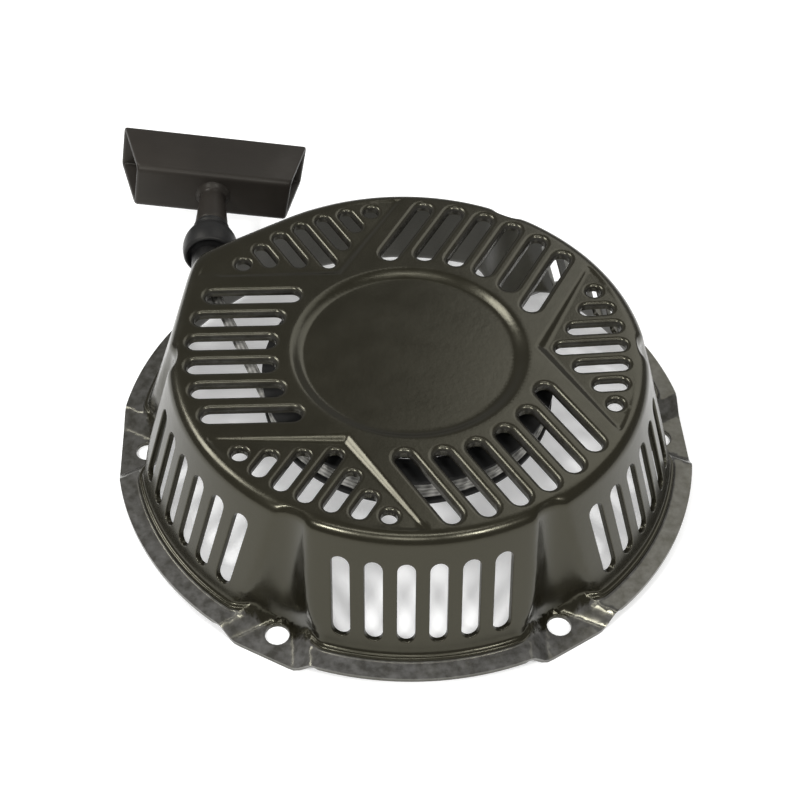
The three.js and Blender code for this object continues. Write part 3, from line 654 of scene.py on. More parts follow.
def spread(material, value, low_in, high_in, low_out, high_out):
    inputs = {"Value": value, 1: low_in, 2: high_in, 3: low_out, 4: high_out}
    return node(material, "MapRange", inputs)


def mixed(material, factor, first, second):
    made = material.node_tree.nodes.new("ShaderNodeMix")
    made.data_type = "RGBA"
    for socket, value in ((0, factor), (6, first), (7, second)):
        plug(material, made.inputs[socket], value)
    return made.outputs[2]


def bumped(material, shader, height, strength, distance):
    inputs = {"Height": height, "Strength": strength, "Distance": distance}
    plug(material, shader.inputs["Normal"], node(material, "Bump", inputs))


def combined(material, first, second, operation="ADD"):
    return node(material, "Math", {0: first, 1: second}, operation=operation)


def grey(value, warm=0.0):
    return (value * (1 + warm), value, value * (1 - warm), 1)


def paint_look():
    """Satin enamel over steel: orange peel, fine specks, and lighter paint, which is a painted highlight on
    the rims of the openings and thin paint on the outer ring.
    """
    material, shader = tree_of("cover_paint")
    patches = spread(material, noise(material, 22, 3), 0.3, 0.7, 0, 1)
    specks = noise(material, 1800, 2)
    base = mixed(material, patches, (0.0065, 0.0056, 0.0030, 1), (0.0095, 0.0083, 0.0048, 1))
    # The lighter colour mixed in below is a painted highlight on the rims of the openings, and thin paint on
    # the outer ring.
    wear_and_highlight = node(material, "Attribute", output="Fac", attribute_name="wear_and_highlight", attribute_type="GEOMETRY")
    streaks = spread(material, noise(material, 260, 5), 0.35, 0.68, 0.35, 1)
    highlight_and_rub = combined(material, wear_and_highlight, streaks, "MULTIPLY")
    plug(material, shader.inputs["Base Color"], mixed(material, highlight_and_rub, base, (0.095, 0.093, 0.090, 1)))
    rough = spread(material, noise(material, 90, 5), 0.3, 0.7, 0.19, 0.27)
    plug(material, shader.inputs["Roughness"], rough)
    shader.inputs["Specular IOR Level"].default_value = 0.5
    shader.inputs["Specular Tint"].default_value = (1.0, 0.96, 0.74, 1)
    height = combined(material, noise(material, 420, 2), combined(material, specks, 0.25, "MULTIPLY"))
    bumped(material, shader, height, 0.06, 0.0005)
    return material


def plastic_look(name, dark, light, roughness, grain):
    """Moulded plastic: fine spark-eroded grain and slow changes of gloss."""
    material, shader = tree_of(name)
    patches = spread(material, noise(material, 30, 3), 0.35, 0.65, 0, 1)
    plug(material, shader.inputs["Base Color"], mixed(material, patches, dark, light))
    rough = spread(material, noise(material, 140, 4), 0.3, 0.7, roughness - 0.06, roughness + 0.06)
    plug(material, shader.inputs["Roughness"], rough)
    shader.inputs["Specular IOR Level"].default_value = 0.16
    shader.inputs["Specular Tint"].default_value = (1.0, 0.97, 0.88, 1)
    bumped(material, shader, noise(material, grain, 3), 0.12, 0.0003)
    return material


def metal_look(name, color, roughness, scale):
    """Worked metal: fine drawn lines, with patches of duller surface."""
    material, shader = tree_of(name)
    stretch = node(material, "Mapping", {"Vector": place(material), "Scale": (1, 1, 14)})
    lines = noise(material, scale, 4, where=stretch)
    dull = noise(material, 60, 4)
    darker = tuple(c * 0.72 for c in color[:3]) + (1,)
    plug(material, shader.inputs["Base Color"], mixed(material, dull, darker, color))
    shader.inputs["Metallic"].default_value = 1.0
    rough = spread(material, lines, 0.3, 0.7, roughness - 0.08, roughness + 0.1)
    plug(material, shader.inputs["Roughness"], rough)
    bumped(material, shader, lines, 0.15, 0.0001)
    return material


def rope_look(name, along, around, strands=8, pitch=9.0):
    """Braided cord: two sets of strands that cross, from a place along the cord and an angle around it."""
    material, shader = tree_of(name)
    steep = 2 * math.pi / (pitch * MM)
    run = combined(material, along(material), steep, "MULTIPLY")
    turn = combined(material, around(material), strands / 2, "MULTIPLY")
    one = node(material, "Math", {0: combined(material, run, turn)}, operation="SINE")
    two = node(material, "Math", {0: combined(material, run, turn, "SUBTRACT")}, operation="SINE")
    weave = combined(material, one, two, "MULTIPLY")
    fibres = noise(material, 2600, 3)
    shade = spread(material, weave, -1, 1, 0, 1)
    color = mixed(material, shade, (0.16, 0.155, 0.145, 1), (0.55, 0.54, 0.50, 1))
    plug(material, shader.inputs["Base Color"], color)
    shader.inputs["Roughness"].default_value = 0.85
    height = combined(material, weave, combined(material, fibres, 0.5, "MULTIPLY"))
    bumped(material, shader, height, 0.6, 0.0005)
    return material


def uv_axis(axis, scale):
    """What a rope look reads from a tube's UV map: the length along it or the turn around it."""
    def made(material):
        split = node(material, "SeparateXYZ", {0: node(material, "UVMap", uv_map="UVMap")}, output=axis)
        return combined(material, split, scale, "MULTIPLY")
    return made


def rope_line_along(material):
    return node(material, "SeparateXYZ", {0: place(material)}, output="Y")


def rope_line_around(material):
    split = material.node_tree.nodes.new("ShaderNodeSeparateXYZ")
    plug(material, split.inputs[0], place(material))
    x = combined(material, split.outputs["X"], ROPE_X * MM, "SUBTRACT")
    z = combined(material, split.outputs["Z"], ROPE_Z * MM, "SUBTRACT")
    return node(material, "Math", {0: x, 1: z}, operation="ARCTAN2")


# ------------------------------------------------------------------ mesh helpers


def piece(name, vertices, faces, look, stands_for=None, body=None, slot=None, sharp=32):
    mesh = bpy.data.meshes.new(name)
    mesh.from_pydata([tuple(v) for v in np.array(vertices, float) * MM], [], [tuple(f) for f in faces])
    mesh.materials.append(look)
    mesh.polygons.foreach_set("use_smooth", [True] * len(mesh.polygons))
    mesh.set_sharp_from_angle(angle=math.radians(sharp))
    made = bpy.data.objects.new(name, mesh)
    bpy.context.scene.collection.objects.link(made)
    if stands_for:
        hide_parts(stands_for)
    slot or SLOT[stands_for]
    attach(made, body or BODY[stands_for])
    return made


def softened(profile, size, steps=4):
    """A closed outline with each corner rounded by at most size; corners on the axis stay."""
    profile = [np.array(p, float) for p in profile]
    made = []
    for i, corner in enumerate(profile):
        before, after = profile[i - 1], profile[(i + 1) % len(profile)]
        if corner[0] < ON_AXIS:
            made.append(corner)
            continue
        first = min(size, np.linalg.norm(before - corner) * 0.45)
        second = min(size, np.linalg.norm(after - corner) * 0.45)
        start = corner + (before - corner) * first / np.linalg.norm(before - corner)
        end = corner + (after - corner) * second / np.linalg.norm(after - corner)
        for t in np.linspace(0, 1, steps):
            made.append((1 - t) ** 2 * start + 2 * t * (1 - t) * corner + t * t * end)
    return made


def lathe(profile, segments=96, size=0.4, steps=4):
    """A closed (radius, height) outline turned about Z, as vertices and faces that point out."""
    outline = softened(profile, size, steps)
    area = sum(a[0] * b[1] - b[0] * a[1] for a, b in zip(outline, outline[1:] + outline[:1]))
    if area < 0:
        outline.reverse()
    vertices, rings = [], []
    for radius, height in outline:
        if radius < ON_AXIS:
            rings.append([len(vertices)] * segments)
            vertices.append((0, 0, height))
            continue
        rings.append(list(range(len(vertices), len(vertices) + segments)))
        for k in range(segments):
            a = 2 * math.pi * k / segments
            vertices.append((radius * math.cos(a), radius * math.sin(a), height))
    faces = []
    for here, there in zip(rings, rings[1:] + rings[:1]):
        for k in range(segments):
            m = (k + 1) % segments
            corners = [here[k], here[m], there[m], there[k]]
            corners = [c for j, c in enumerate(corners) if c != corners[j - 1]]
            if len(corners) > 2:
                faces.append(corners)
    return np.array(vertices), faces


def about_rope(vertices):
    """A shape built about Z is laid along the rope, its heights becoming y."""
    x, y, z = np.array(vertices).T
    return np.stack([ROPE_X + x, z, ROPE_Z - y], axis=1)


def tube(path, radius, sides=12):
    """Closed tube along a path, with a UV of length along and turns around."""
    path = np.array(path, float)
    tangent = np.gradient(path, axis=0)
    tangent /= np.linalg.norm(tangent, axis=1)[:, None]
    up = np.array([0, 0, 1.0]) if abs(tangent[0][2]) < 0.9 else np.array([1.0, 0, 0])
    vertices, faces, uvs = [], [], []
    run = np.concatenate([[0], np.cumsum(np.linalg.norm(np.diff(path, axis=0), axis=1))])
    for i, (centre, along) in enumerate(zip(path, tangent)):
        up = up - along * (up @ along)
        up /= np.linalg.norm(up)
        side = np.cross(along, up)
        for k in range(sides):
            a = 2 * math.pi * k / sides
            vertices.append(centre + radius * (math.cos(a) * side + math.sin(a) * up))
    for i in range(len(path) - 1):
        for k in range(sides):
            m = (k + 1) % sides
            faces.append((i * sides + k, (i + 1) * sides + k, (i + 1) * sides + m, i * sides + m))
            this, after = k / sides, (k + 1) / sides
            uvs.append([(run[i], this), (run[i + 1], this), (run[i + 1], after), (run[i], after)])
    last = (len(path) - 1) * sides
    faces.append(tuple(range(sides)))
    uvs.append([(run[0], 0)] * sides)
    faces.append(tuple(last + k for k in reversed(range(sides))))
    uvs.append([(run[-1], 0)] * sides)
    return vertices, faces, uvs


def set_uvs(made, uvs):
    layer = made.data.uv_layers.new(name="UVMap")
    flat = [(u * MM, v) for face in uvs for u, v in face]
    layer.data.foreach_set("uv", [c for uv in flat for c in uv])


def prism(outline, bottom, top, bevel=0.25):
    """A flat outline raised between two heights, with small bevels on its edges."""
    outline = np.array(outline, float)
    area = np.sum(outline[:, 0] * np.roll(outline[:, 1], -1) - np.roll(outline[:, 0], -1) * outline[:, 1])
    if area < 0:
        outline = outline[::-1]
    edge = np.roll(outline, -1, axis=0) - outline
    out = np.stack([edge[:, 1], -edge[:, 0]], axis=1)
    out /= np.maximum(np.linalg.norm(out, axis=1), TINY)[:, None]
    out = out + np.roll(out, 1, axis=0)
    out /= np.maximum(np.linalg.norm(out, axis=1), TINY)[:, None]
    count = len(outline)
    layers = [(bottom, bevel), (bottom + bevel, 0), (top - bevel, 0), (top, bevel)]
    vertices = [(*(p - o * inset), z) for z, inset in layers for p, o in zip(outline, out)]
    faces = [tuple(reversed(range(count))), tuple(3 * count + k for k in range(count))]
    for layer in range(3):
        for k in range(count):
            m = (k + 1) % count
            here = layer * count
            faces.append((here + k, here + m, here + count + m, here + count + k))
    return np.array(vertices), faces


def joined(*shapes):
    vertices, faces = [], []
    for v, f in shapes:
        base = len(vertices)
        vertices.extend(v)
        faces.extend(tuple(i + base for i in face) for face in f)
    return vertices, faces


def spin(vertices, azimuth):
    """Turns a shape about Z."""
    vertices = np.array(vertices, float)
    vertices[:, :2] = turned(vertices[:, :2], azimuth)
    return vertices


# ------------------------------------------------------------------ places taken from the frame

ROPE_X, _, ROPE_Z = (low("rope_guide") + high("rope_guide")) / 2
GUIDE_RADIUS = (high("rope_guide")[0] - low("rope_guide")[0]) / 2
GUIDE_Y = (low("rope_guide")[1], high("rope_guide")[1])
BUMPER_Y = (low("bumper")[1], high("bumper")[1])
BOSS_Y = low("handle_grip")[1]
GRIP_BACK_Y = high("handle_grip")[1]
KNOT_Y = low("handle_knot")[1]
REEL_RADIUS = high("reel")[0]

PAINT = paint_look()
GRIP_PLASTIC = plastic_look("handle_plastic", grey(0.016, 0.15), grey(0.021, 0.15), 0.38, 900)
REEL_PLASTIC = plastic_look("reel_plastic", grey(0.010), grey(0.016), 0.5, 700)
RUBBER = plastic_look("bumper_rubber", grey(0.011), grey(0.017), 0.42, 1200)
STEEL = metal_look("steel", (0.52, 0.52, 0.51, 1), 0.34, 500)
BLACK_STEEL = metal_look("blackened_steel", (0.045, 0.044, 0.042, 1), 0.42, 500)
SPRING_STEEL = metal_look("spring_steel", (0.20, 0.22, 0.26, 1), 0.3, 600)
BRONZE = metal_look("bronze", (0.45, 0.28, 0.12, 1), 0.36, 500)
ROPE_WOUND = rope_look("rope_fibre", uv_axis("X", 1.0), uv_axis("Y", 2 * math.pi))
ROPE_PULLED = rope_look("rope_fibre_straight", rope_line_along, rope_line_around)


# ------------------------------------------------------------------ pieces


def make_cover():
    vertices, faces, wear_and_highlight = build_cover()
    made = piece("pressed_cover", vertices, faces, PAINT, "cover", sharp=34)
    made.data.attributes.new("wear_and_highlight", "FLOAT", "POINT").data.foreach_set("value", wear_and_highlight.astype(np.float32))


def make_guide():
    wall, mouth, mouth_depth = 3.9, 1.5, 3
    bore = GUIDE_RADIUS - wall
    start, end = GUIDE_Y
    outline = [(bore + mouth, start), (GUIDE_RADIUS, start), (GUIDE_RADIUS, end), (bore + mouth, end)]
    outline += [(bore, end - mouth_depth), (bore, start + mouth_depth)]
    vertices, faces = lathe(outline, 64, 0.8)
    piece("guide_eyelet", about_rope(vertices), faces, BLACK_STEEL, "rope_guide")


def make_bumper():
    """A bell, hollow towards the guide, with a neck against the handle's boss."""
    start, end = BUMPER_Y
    mouth = [(CORD_BORE, 2.5), (8.4, 2.5), (9.4, 0.1), (10.8, 0.7), (11.35, 4)]
    bell = [(11.4, 6.5), (10.9, 9.5), (9.7, 12.4), (8.2, 14.6)]
    neck = [(7.1, 15.4), (7.1, 16.1), (7.6, 16.4), (7.6, end - start), (CORD_BORE, end - start)]
    outline = [(radius, start + height) for radius, height in mouth + bell + neck]
    vertices, faces = lathe(outline, 96, 1.1, 5)
    piece("stop_bumper", about_rope(vertices), faces, RUBBER, "bumper", sharp=40)


def rectangle(width, height, corner, steps=6):
    points = []
    for quarter, (sx, sy) in enumerate(((1, 1), (-1, 1), (-1, -1), (1, -1))):
        centre = np.array([sx * (width / 2 - corner), sy * (height / 2 - corner)])
        for k in range(steps + 1):
            a = (quarter + k / steps) * math.pi / 2
            points.append(centre + corner * np.array([math.cos(a), math.sin(a)]))
    return np.array(points)


def grip_loop(inset, shorter):
    """One ring of the grip: its section drawn in by inset, and half its length less shorter."""
    section = rectangle(GRIP_DEPTH - 2 * inset, GRIP_HEIGHT - 2 * inset, max(GRIP_CORNER - inset, 0.8))
    share = section[:, 0] / GRIP_DEPTH + 0.5
    half = (GRIP_FRONT + (GRIP_BACK - GRIP_FRONT) * share) / 2 - shorter
    return section, half


def grip_shell():
    """The hollow grip: rings from its middle out over one end's rim and inside, then back the other way."""
    bend = GRIP_RIM * 0.3
    steps = [(0, 22), (0, 12), (0, GRIP_RIM), (bend, bend), (GRIP_RIM, 0), (GRIP_WALL - GRIP_RIM, 0)]
    steps += [(GRIP_WALL - bend, bend), (GRIP_WALL, GRIP_RIM), (GRIP_WALL, 14)]
    rings = [(*step, -1) for step in steps] + [(*step, 1) for step in reversed(steps)]
    centre_y = GRIP_BACK_Y - GRIP_DEPTH / 2
    vertices = []
    for inset, shorter, side in rings:
        section, half = grip_loop(inset, shorter)
        vertices.extend((side * x, centre_y + y, z) for (y, z), x in zip(section, half))
    count = len(section)
    faces = []
    for i in range(len(rings)):
        here = i * count
        there = (i + 1) % len(rings) * count
        for k in range(count):
            m = (k + 1) % count
            faces.append((here + k, there + k, there + m, here + m))
    return vertices, faces


def grip_boss():
    """The boss that the bumper's neck meets, with a collar at the grip's front."""
    front = GRIP_BACK_Y - GRIP_DEPTH
    inside = front + GRIP_WALL * 0.6
    outline = [(CORD_BORE, BOSS_Y), (7.1, BOSS_Y), (6.7, BOSS_Y + 4), (5.6, front - 5), (5.3, front - 2.4)]
    outline += [(7.6, front + 0.1), (7.6, inside), (CORD_BORE, inside)]
    vertices, faces = lathe(outline, 64, 1.3, 5)
    return [(x, z, -y) for x, y, z in vertices], faces


def make_grip():
    vertices, faces = joined(grip_shell(), grip_boss())
    x, y, z = np.array(vertices).T
    tilt = math.radians(GRIP_TILT)
    across = ROPE_X + x * math.cos(tilt) + z * math.sin(tilt)
    height = ROPE_Z - x * math.sin(tilt) + z * math.cos(tilt)
    placed = np.stack([across, y, height], axis=1)
    facing_out(piece("pull_grip", placed, faces, GRIP_PLASTIC, "handle_grip", sharp=40))


def facing_out(made):
    mesh = bmesh.new()
    mesh.from_mesh(made.data)
    bmesh.ops.recalc_face_normals(mesh, faces=mesh.faces)
    mesh.to_mesh(made.data)
    mesh.free()


def knot_path(size, length, turns=2, steps=90):
    """A trefoil, close drawn, about Z."""
    path = []
    for i in range(steps + 1):
        t = 2 * math.pi * i / steps
        r = size * (0.56 + 0.26 * math.cos(1.5 * turns * t))
        z = length * 0.3 * math.sin(1.5 * turns * t)
        path.append((r * math.cos(turns * t), r * math.sin(turns * t), z))
    return np.array(path)


def make_knot(name, node_name, upright):
    """A knot that fills its node's box, about Z if upright and about the rope otherwise."""
    size = (high(node_name) - low(node_name)) / 2
    centre = (high(node_name) + low(node_name)) / 2
    radius, half = (size[0], size[2]) if upright else (size[0], size[1])
    cord = radius * 0.42
    path = knot_path(radius - cord * 0.4, (half - cord) * 2.6)
    if not upright:
        path = path[:, [0, 2, 1]] * [1, 1, -1]
    vertices, faces, uvs = tube(path + centre, cord, 12)
    made = piece(name, vertices, faces, ROPE_WOUND, node_name)
    set_uvs(made, uvs)
    facing_out(made)


def curve_through(points, steps):
    """Catmull-Rom curve through the points."""
    points = np.array(points, float)
    points = np.concatenate([[2 * points[0] - points[1]], points, [2 * points[-1] - points[-2]]])
    made = []
    for i in range(1, len(points) - 2):
        p0, p1, p2, p3 = points[i - 1:i + 3]
        for k in range(steps):
            t = k / steps
            straight = 2 * p1 + (p2 - p0) * t
            bend = (2 * p0 - 5 * p1 + 4 * p2 - p3) * t**2 + (3 * p1 - p0 - 3 * p2 + p3) * t**3
            made.append((straight + bend) / 2)
    made.append(points[-2])
    return np.array(made)


def make_rope_lead():
    """The rope from the reel to the inside of the guide."""
    wound = high("wound_rope")[0] - ROPE / 2
    guide = np.array([ROPE_X, GUIDE_Y[0]])
    angle = math.atan2(guide[1], guide[0]) + math.acos(wound / np.linalg.norm(guide))
    tangent = wound * np.array([math.cos(angle), math.sin(angle)])
    away = (guide - tangent) / np.linalg.norm(guide - tangent)
    route = [tangent + away * d for d in (0, 2, 9)]
    route.append((ROPE_X + ROPE, GUIDE_Y[0] - 2 * ROPE))
    route += [(ROPE_X, GUIDE_Y[0] + 3), (ROPE_X, GUIDE_Y[0] + LEAD_OVERLAP)]
    path = curve_through([(*p, ROPE_Z) for p in route], 8)
    vertices, faces, uvs = tube(path, ROPE / 2, 16)
    lead = piece("rope_lead", vertices, faces, ROPE_WOUND, body="housing", slot="rope_fibre")
    set_uvs(lead, uvs)
    facing_out(lead)


def make_pulled_rope():
    """The straight rope from the guide to the knot, taken off its body and left in world space."""
    inside = GUIDE_Y[0] + LEAD_OVERLAP
    straight = [(ROPE_X, y, ROPE_Z) for y in np.linspace(inside - 0.5, KNOT_Y + 1.5, 24)]
    vertices, faces, _ = tube(straight, ROPE / 2, 20)
    pull = piece("pull_rope", vertices, faces, ROPE_PULLED, "rope_run")
    facing_out(pull)
    pull.parent = None
    pull.matrix_world = Matrix.Identity(4)
    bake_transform(pull)


def make_wound_rope(steps=150):
    """Four turns in two layers: along the groove on its floor, and back on top of them."""
    outer = high("wound_rope")[0] - ROPE / 2
    coils = []
    for radius, first, last in ((outer - ROPE, -1, 1), (outer, 1, -1)):
        for i in range(steps):
            t = i / steps
            a = 4 * math.pi * t
            side = np.clip(first + (last - first) * smooth(2.2 * (t - 0.5) + 0.5), -1, 1)
            z = ROPE_Z + ROPE / 2 * 0.98 * side
            coils.append((radius * math.cos(a), radius * math.sin(a), z))
    coils = np.array(coils)
    for _ in range(2):  # eases the step up to the second layer
        coils[steps - 2:steps + 2] = (coils[steps - 3:steps + 1] + coils[steps - 1:steps + 3]) / 2
    vertices, faces, uvs = tube(coils, ROPE / 2 * 0.99, 14)
    band = piece("wound_turns", vertices, faces, ROPE_WOUND, "wound_rope")
    set_uvs(band, uvs)
    facing_out(band)


def make_reel():
    """The reel's turned body, the two posts that carry the pawls, and the ribs under its web."""
    bottom, top = low("reel")[2], high("reel")[2]
    groove_bottom, groove_top = low("wound_rope")[2] - 0.2, high("wound_rope")[2] + 0.2
    bore = high("reel_bushing")[0] + 0.2
    hub_bottom = low("reel_bushing")[2]
    web, cavity, skirt = top - 12.6, top - 10, REEL_FLOOR - 3
    inside = [(bore, top - 1), (REEL_HUB, top - 1), (REEL_HUB, cavity), (SPRING_CAVITY, cavity)]
    flanges = [(SPRING_CAVITY, top), (REEL_RADIUS, top), (REEL_RADIUS, groove_top), (REEL_FLOOR, groove_top)]
    flanges += [(REEL_FLOOR, groove_bottom), (REEL_RADIUS, groove_bottom), (REEL_RADIUS, groove_bottom - 2)]
    below = [(skirt, groove_bottom - 2), (skirt, web), (REEL_HUB, web), (REEL_HUB, hub_bottom)]
    outline = inside + flanges + below + [(bore, hub_bottom)]
    shapes = [lathe(outline, 160, 0.5)]
    for side in (1, -1):
        vertices, faces = lathe([(0, bottom), (3, bottom), (3, web + 0.5), (0, web + 0.5)], 32, 0.3)
        shapes.append((vertices + [0, PAWL_CIRCLE * side, 0], faces))
    inner, outer, half = REEL_HUB - 0.5, skirt + 0.5, REEL_RIB_WIDTH / 2
    bar = [(inner, -half), (outer, -half), (outer, half), (inner, half)]
    vertices, faces = prism(bar, web - REEL_RIB_HEIGHT, web + 0.5, 0.3)
    shapes += [(spin(vertices, 360 * (i + 0.5) / REEL_RIBS), faces) for i in range(REEL_RIBS)]
    vertices, faces = joined(*shapes)
    piece("rope_reel", vertices, faces, REEL_PLASTIC, "reel")


def ring_piece(name, node_name, look, inner, size=0.2):
    """A plain ring that fills its node's box, but for its bore."""
    bottom, top = low(node_name)[2], high(node_name)[2]
    outer = high(node_name)[1]
    vertices, faces = lathe([(inner, bottom), (outer, bottom), (outer, top), (inner, top)], 96, size)
    piece(name, vertices, faces, look, node_name)


def make_handle_washer(outer=6.5, thickness=1.2):
    start = low("handle_washer")[1]
    end = start + thickness
    vertices, faces = lathe([(CORD_BORE, start), (outer, start), (outer, end), (CORD_BORE, end)], 48, 0.2)
    piece("knot_ring", about_rope(vertices), faces, STEEL, "handle_washer")


def make_spring_plate():
    """A plate with a shallow pressed ring, and the three pan-head screws that hold it."""
    bottom, top = low("spring_plate")[2], high("spring_plate")[2]
    outer = high("spring_plate")[0]
    outline = [(REEL_HUB, bottom), (outer, bottom), (outer, top), (34, top)]
    outline += [(32, top - 0.5), (20, top - 0.5), (18, top), (REEL_HUB, top)]
    vertices, faces = lathe(outline, 128, 0.3)
    piece("spring_cover_plate", vertices, faces, STEEL, "spring_plate")
    for i, azimuth in enumerate((30, 150, 270), start=1):
        name = f"spring_plate_screw_{i}"
        bottom, top = low(name)[2], high(name)[2]
        seat = top - 1.5
        outline = [(0, bottom), (1.3, bottom), (1.3, seat), (2.6, seat), (2.5, seat + 0.8), (1.6, top)]
        outline += [(1.0, top), (0.5, top - 0.7), (0, top - 0.7)]
        vertices, faces = lathe(outline, 32, 0.15)
        a = math.radians(azimuth)
        centre = SCREW_CIRCLE * np.array([math.cos(a), math.sin(a), 0])
        piece(f"pan_screw_{i}", vertices + centre, faces, STEEL, name)


def make_post():
    """The post that the reel turns on, bored for the screw, under the flange that meets the cover."""
    bottom, top = low("centre_post")[2], high("centre_post")[2]
    flange = high("centre_post")[0]
    outline = [(0, top), (flange, top), (flange, top - 2), (9, top - 2), (7, top - 4), (7, bottom)]
    outline += [(3.15, bottom), (3.15, bottom + 14), (0, bottom + 15)]
    vertices, faces = lathe(outline, 96, 0.3)
    piece("post_and_flange", vertices, faces, STEEL, "centre_post")


def make_screw():
    """A hexagon flange screw, threaded at its end."""
    bottom, top = low("centre_screw")[2], high("centre_screw")[2]
    seat = bottom + 4
    pitch, crest, root, head_radius = 1, 3, 2.55, 6
    corners = [math.radians(a) for a in range(0, 360, 60)]
    hexagon = [(head_radius * math.cos(a), head_radius * math.sin(a)) for a in corners]
    head = prism(hexagon, bottom, seat - 0.8, 0.4)
    flange = lathe([(0, seat - 1), (7, seat - 1), (7, seat), (0, seat)], 48, 0.2)
    thread = [(0, seat - 0.5), (crest, seat - 0.5)]
    z = seat + 8
    while z < top - 1.2:
        thread += [(crest, z), (root, z + pitch / 2)]
        z += pitch
    thread += [(2.6, top), (0, top)]
    vertices, faces = joined(head, flange, lathe(thread, 32, 0.05, 2))
    piece("flange_bolt", vertices, faces, STEEL, "centre_screw", sharp=25)


def helix(radius, bottom, top, turns, wire, steps=20):
    """A coil between two heights, closed up at both ends."""
    path = []
    count = int(turns * steps)
    for i in range(count + 1):
        a = 2 * math.pi * i / steps
        share = smooth((i / count - 0.12) / 0.76)
        z = bottom + wire / 2 + (top - bottom - wire) * share
        path.append((radius * math.cos(a), radius * math.sin(a), z))
    return np.array(path)


def make_coil_springs():
    bottom, top = low("brake_spring")[2], high("brake_spring")[2]
    vertices, faces, _ = tube(helix(5.2, bottom, top, 4, 0.9), 0.45, 10)
    facing_out(piece("friction_spring", vertices, faces, SPRING_STEEL, "brake_spring"))
    for i, side in ((1, 1), (2, -1)):
        name = f"pawl_spring_{i}"
        path = helix(4.3, low(name)[2], high(name)[2], 2.5, 0.6) + [0, PAWL_CIRCLE * side, 0]
        vertices, faces, _ = tube(path, 0.3, 8)
        facing_out(piece(f"return_spring_{i}", vertices, faces, SPRING_STEEL, name))


def make_spiral_spring(turns=9, steps=48, outer=39, inner=15, strip=0.6):
    """A flat strip wound from the cavity's wall in to the hub."""
    bottom, top = low("rewind_spring")[2], high("rewind_spring")[2]
    count = turns * steps + 1
    sides = []
    for offset in (strip / 2, -strip / 2):
        line = []
        for i in range(count):
            a = 2 * math.pi * i / steps
            r = outer + (inner - outer) * i / (count - 1) + offset
            line.append((r * math.cos(a), r * math.sin(a)))
        sides.append(line)
    vertices = [(x, y, z) for z in (bottom, top) for line in sides for x, y in line]
    faces = []
    for i in range(count - 1):
        a, b, c, d = (i + k * count for k in range(4))
        faces += [(a, a + 1, b + 1, b), (c, d, d + 1, c + 1), (a, c, c + 1, a + 1), (b, b + 1, d + 1, d)]
    for i in (0, count - 1):
        faces.append((i, count + i, 3 * count + i, 2 * count + i))
    facing_out(piece("spiral_spring", vertices, faces, SPRING_STEEL, "rewind_spring"))


def make_pawls():
    """Each pawl is drawn about its pivot, turned to its rest angle, and moved out to its place."""
    boss, thickness, pin_radius, pin_reach, rest_angle = 5.4, 4.4, 1.4, 8.8, 100
    angles = [math.radians(a) for a in range(60, 301, 12)]
    outline = [(boss * math.cos(a), boss * math.sin(a)) for a in angles]
    outline += [(14.5, -2.58), (16.2, -0.9), (17, 1.25), (16.4, 2.1), (14.5, 2.5)]
    for i, azimuth in ((1, 90), (2, 270)):
        name = f"pawl_{i}"
        pin_bottom, top = low(name)[2], high(name)[2]
        bottom = top - thickness
        arm = prism(outline, bottom, top, 0.35)
        pin_outline = [(0, pin_bottom), (pin_radius, pin_bottom), (pin_radius, bottom + 1), (0, bottom + 1)]
        pin_vertices, pin_faces = lathe(pin_outline, 24, 0.2)
        vertices, faces = joined(arm, (pin_vertices + [pin_reach, 0, 0], pin_faces))
        placed = spin(spin(vertices, rest_angle) + [PAWL_CIRCLE, 0, 0], azimuth)
        piece(f"drive_pawl_{i}", placed, faces, STEEL, name, sharp=25)


def finish_drive_plate():
    """The drive plate is the CAD's own, with a material in its slot."""
    plate = frame["nodes"]["drive_plate"]
    plate.data.materials.clear()
    plate.data.materials.append(STEEL)


def make_floor(size=25.0):
    """A wide pale floor that glows weakly, like a light table."""
    mesh = bpy.data.meshes.new("floor")
    corners = [(-size, -size, 0), (size, -size, 0), (size, size, 0), (-size, size, 0)]
    mesh.from_pydata(corners, [], [(0, 1, 2, 3)])
    floor = bpy.data.objects.new("floor", mesh)
    bpy.context.scene.collection.objects.link(floor)
    floor.location.z = -0.0002
    material, shader = tree_of("floor_paper")
    tint = spread(material, noise(material, 3, 2), 0.3, 0.7, 0, 1)
    color = mixed(material, tint, (0.76, 0.76, 0.755, 1), (0.79, 0.79, 0.785, 1))
    plug(material, shader.inputs["Base Color"], color)
    shader.inputs["Roughness"].default_value = 0.9
    shader.inputs["Specular IOR Level"].default_value = 0.1
    shader.inputs["Emission Color"].default_value = (1, 1, 1, 1)
    shader.inputs["Emission Strength"].default_value = 0.38
    floor.data.materials.append(material)


def aim(made, target, roll=0.0):
    """Points a light or the camera at a place, turned about its own axis by roll."""
    look = (Vector(target) - made.location).to_track_quat("-Z", "Y").to_matrix()
    made.rotation_euler = (look @ Matrix.Rotation(roll, 3, "Z")).to_euler()


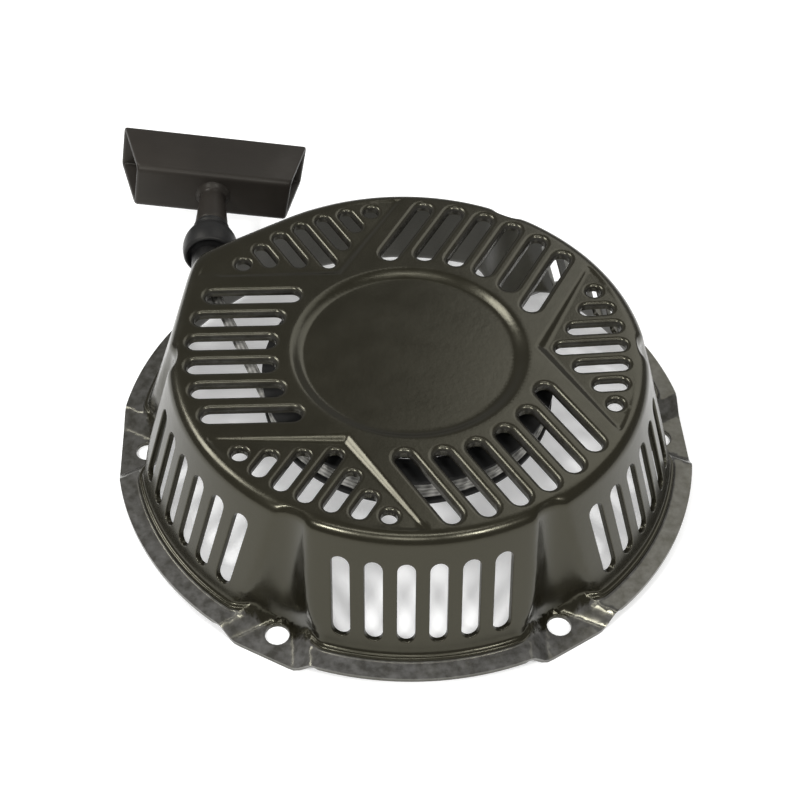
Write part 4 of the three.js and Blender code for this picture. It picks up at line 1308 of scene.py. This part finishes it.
def area_light(name, azimuth, elevation, distance, size, power, target=(0, 0, 0.03)):
    data = bpy.data.lights.new(name, "AREA")
    data.shape = "RECTANGLE"
    data.size, data.size_y = size
    data.energy = power
    light = bpy.data.objects.new(name, data)
    bpy.context.scene.collection.objects.link(light)
    a, e = math.radians(azimuth), math.radians(elevation)
    offset = Vector((math.cos(a) * math.cos(e), math.sin(a) * math.cos(e), math.sin(e)))
    light.location = Vector(target) + offset * distance
    aim(light, target)


def make_lights():
    world = bpy.data.worlds.new("studio")
    bpy.context.scene.world = world
    world.use_nodes = True
    background = world.node_tree.nodes["Background"]
    background.inputs["Color"].default_value = (1, 1, 1, 1)
    background.inputs["Strength"].default_value = 0.28
    area_light("front_left", -128, 46, 1.5, (0.16, 0.16), 9)
    area_light("front_right", -58, 48, 1.5, (0.13, 0.13), 7)
    area_light("front_fill", -94, 49, 1.5, (0.35, 0.35), 3)
    area_light("overhead_strip", -90, 80, 1.5, (0.9, 0.15), 4)
    area_light("back_left", 152, 50, 1.5, (0.5, 0.5), 11)
    area_light("back_right", 58, 46, 1.6, (0.85, 0.85), 4.2)


def make_camera():
    data = bpy.data.cameras.new("camera")
    data.sensor_width = 36
    data.lens = 72.18
    data.clip_end = 60
    camera = bpy.data.objects.new("camera", data)
    bpy.context.scene.collection.objects.link(camera)
    camera.location = Vector((-35.0, -421.8, 491.3)) * MM
    aim(camera, Vector((-4.8, -26.1, 57)) * MM, math.radians(1.86))
    bpy.context.scene.camera = camera


make_camera()
make_cover()
make_guide()
make_bumper()
make_grip()
make_rope_lead()
make_pulled_rope()
make_wound_rope()
make_reel()
make_spring_plate()
make_post()
make_screw()
make_coil_springs()
make_spiral_spring()
make_pawls()
finish_drive_plate()
make_knot("reel_stopper_knot", "reel_knot", True)
make_knot("handle_stopper_knot", "handle_knot", False)
ring_piece("bush", "reel_bushing", BRONZE, 7.08)
ring_piece("thrust_ring", "thrust_washer", STEEL, 3.2)
ring_piece("bolt_ring", "screw_washer", STEEL, 3.2)
make_handle_washer()
make_floor()
make_lights()

bpy.context.scene.view_settings.view_transform = "Standard"
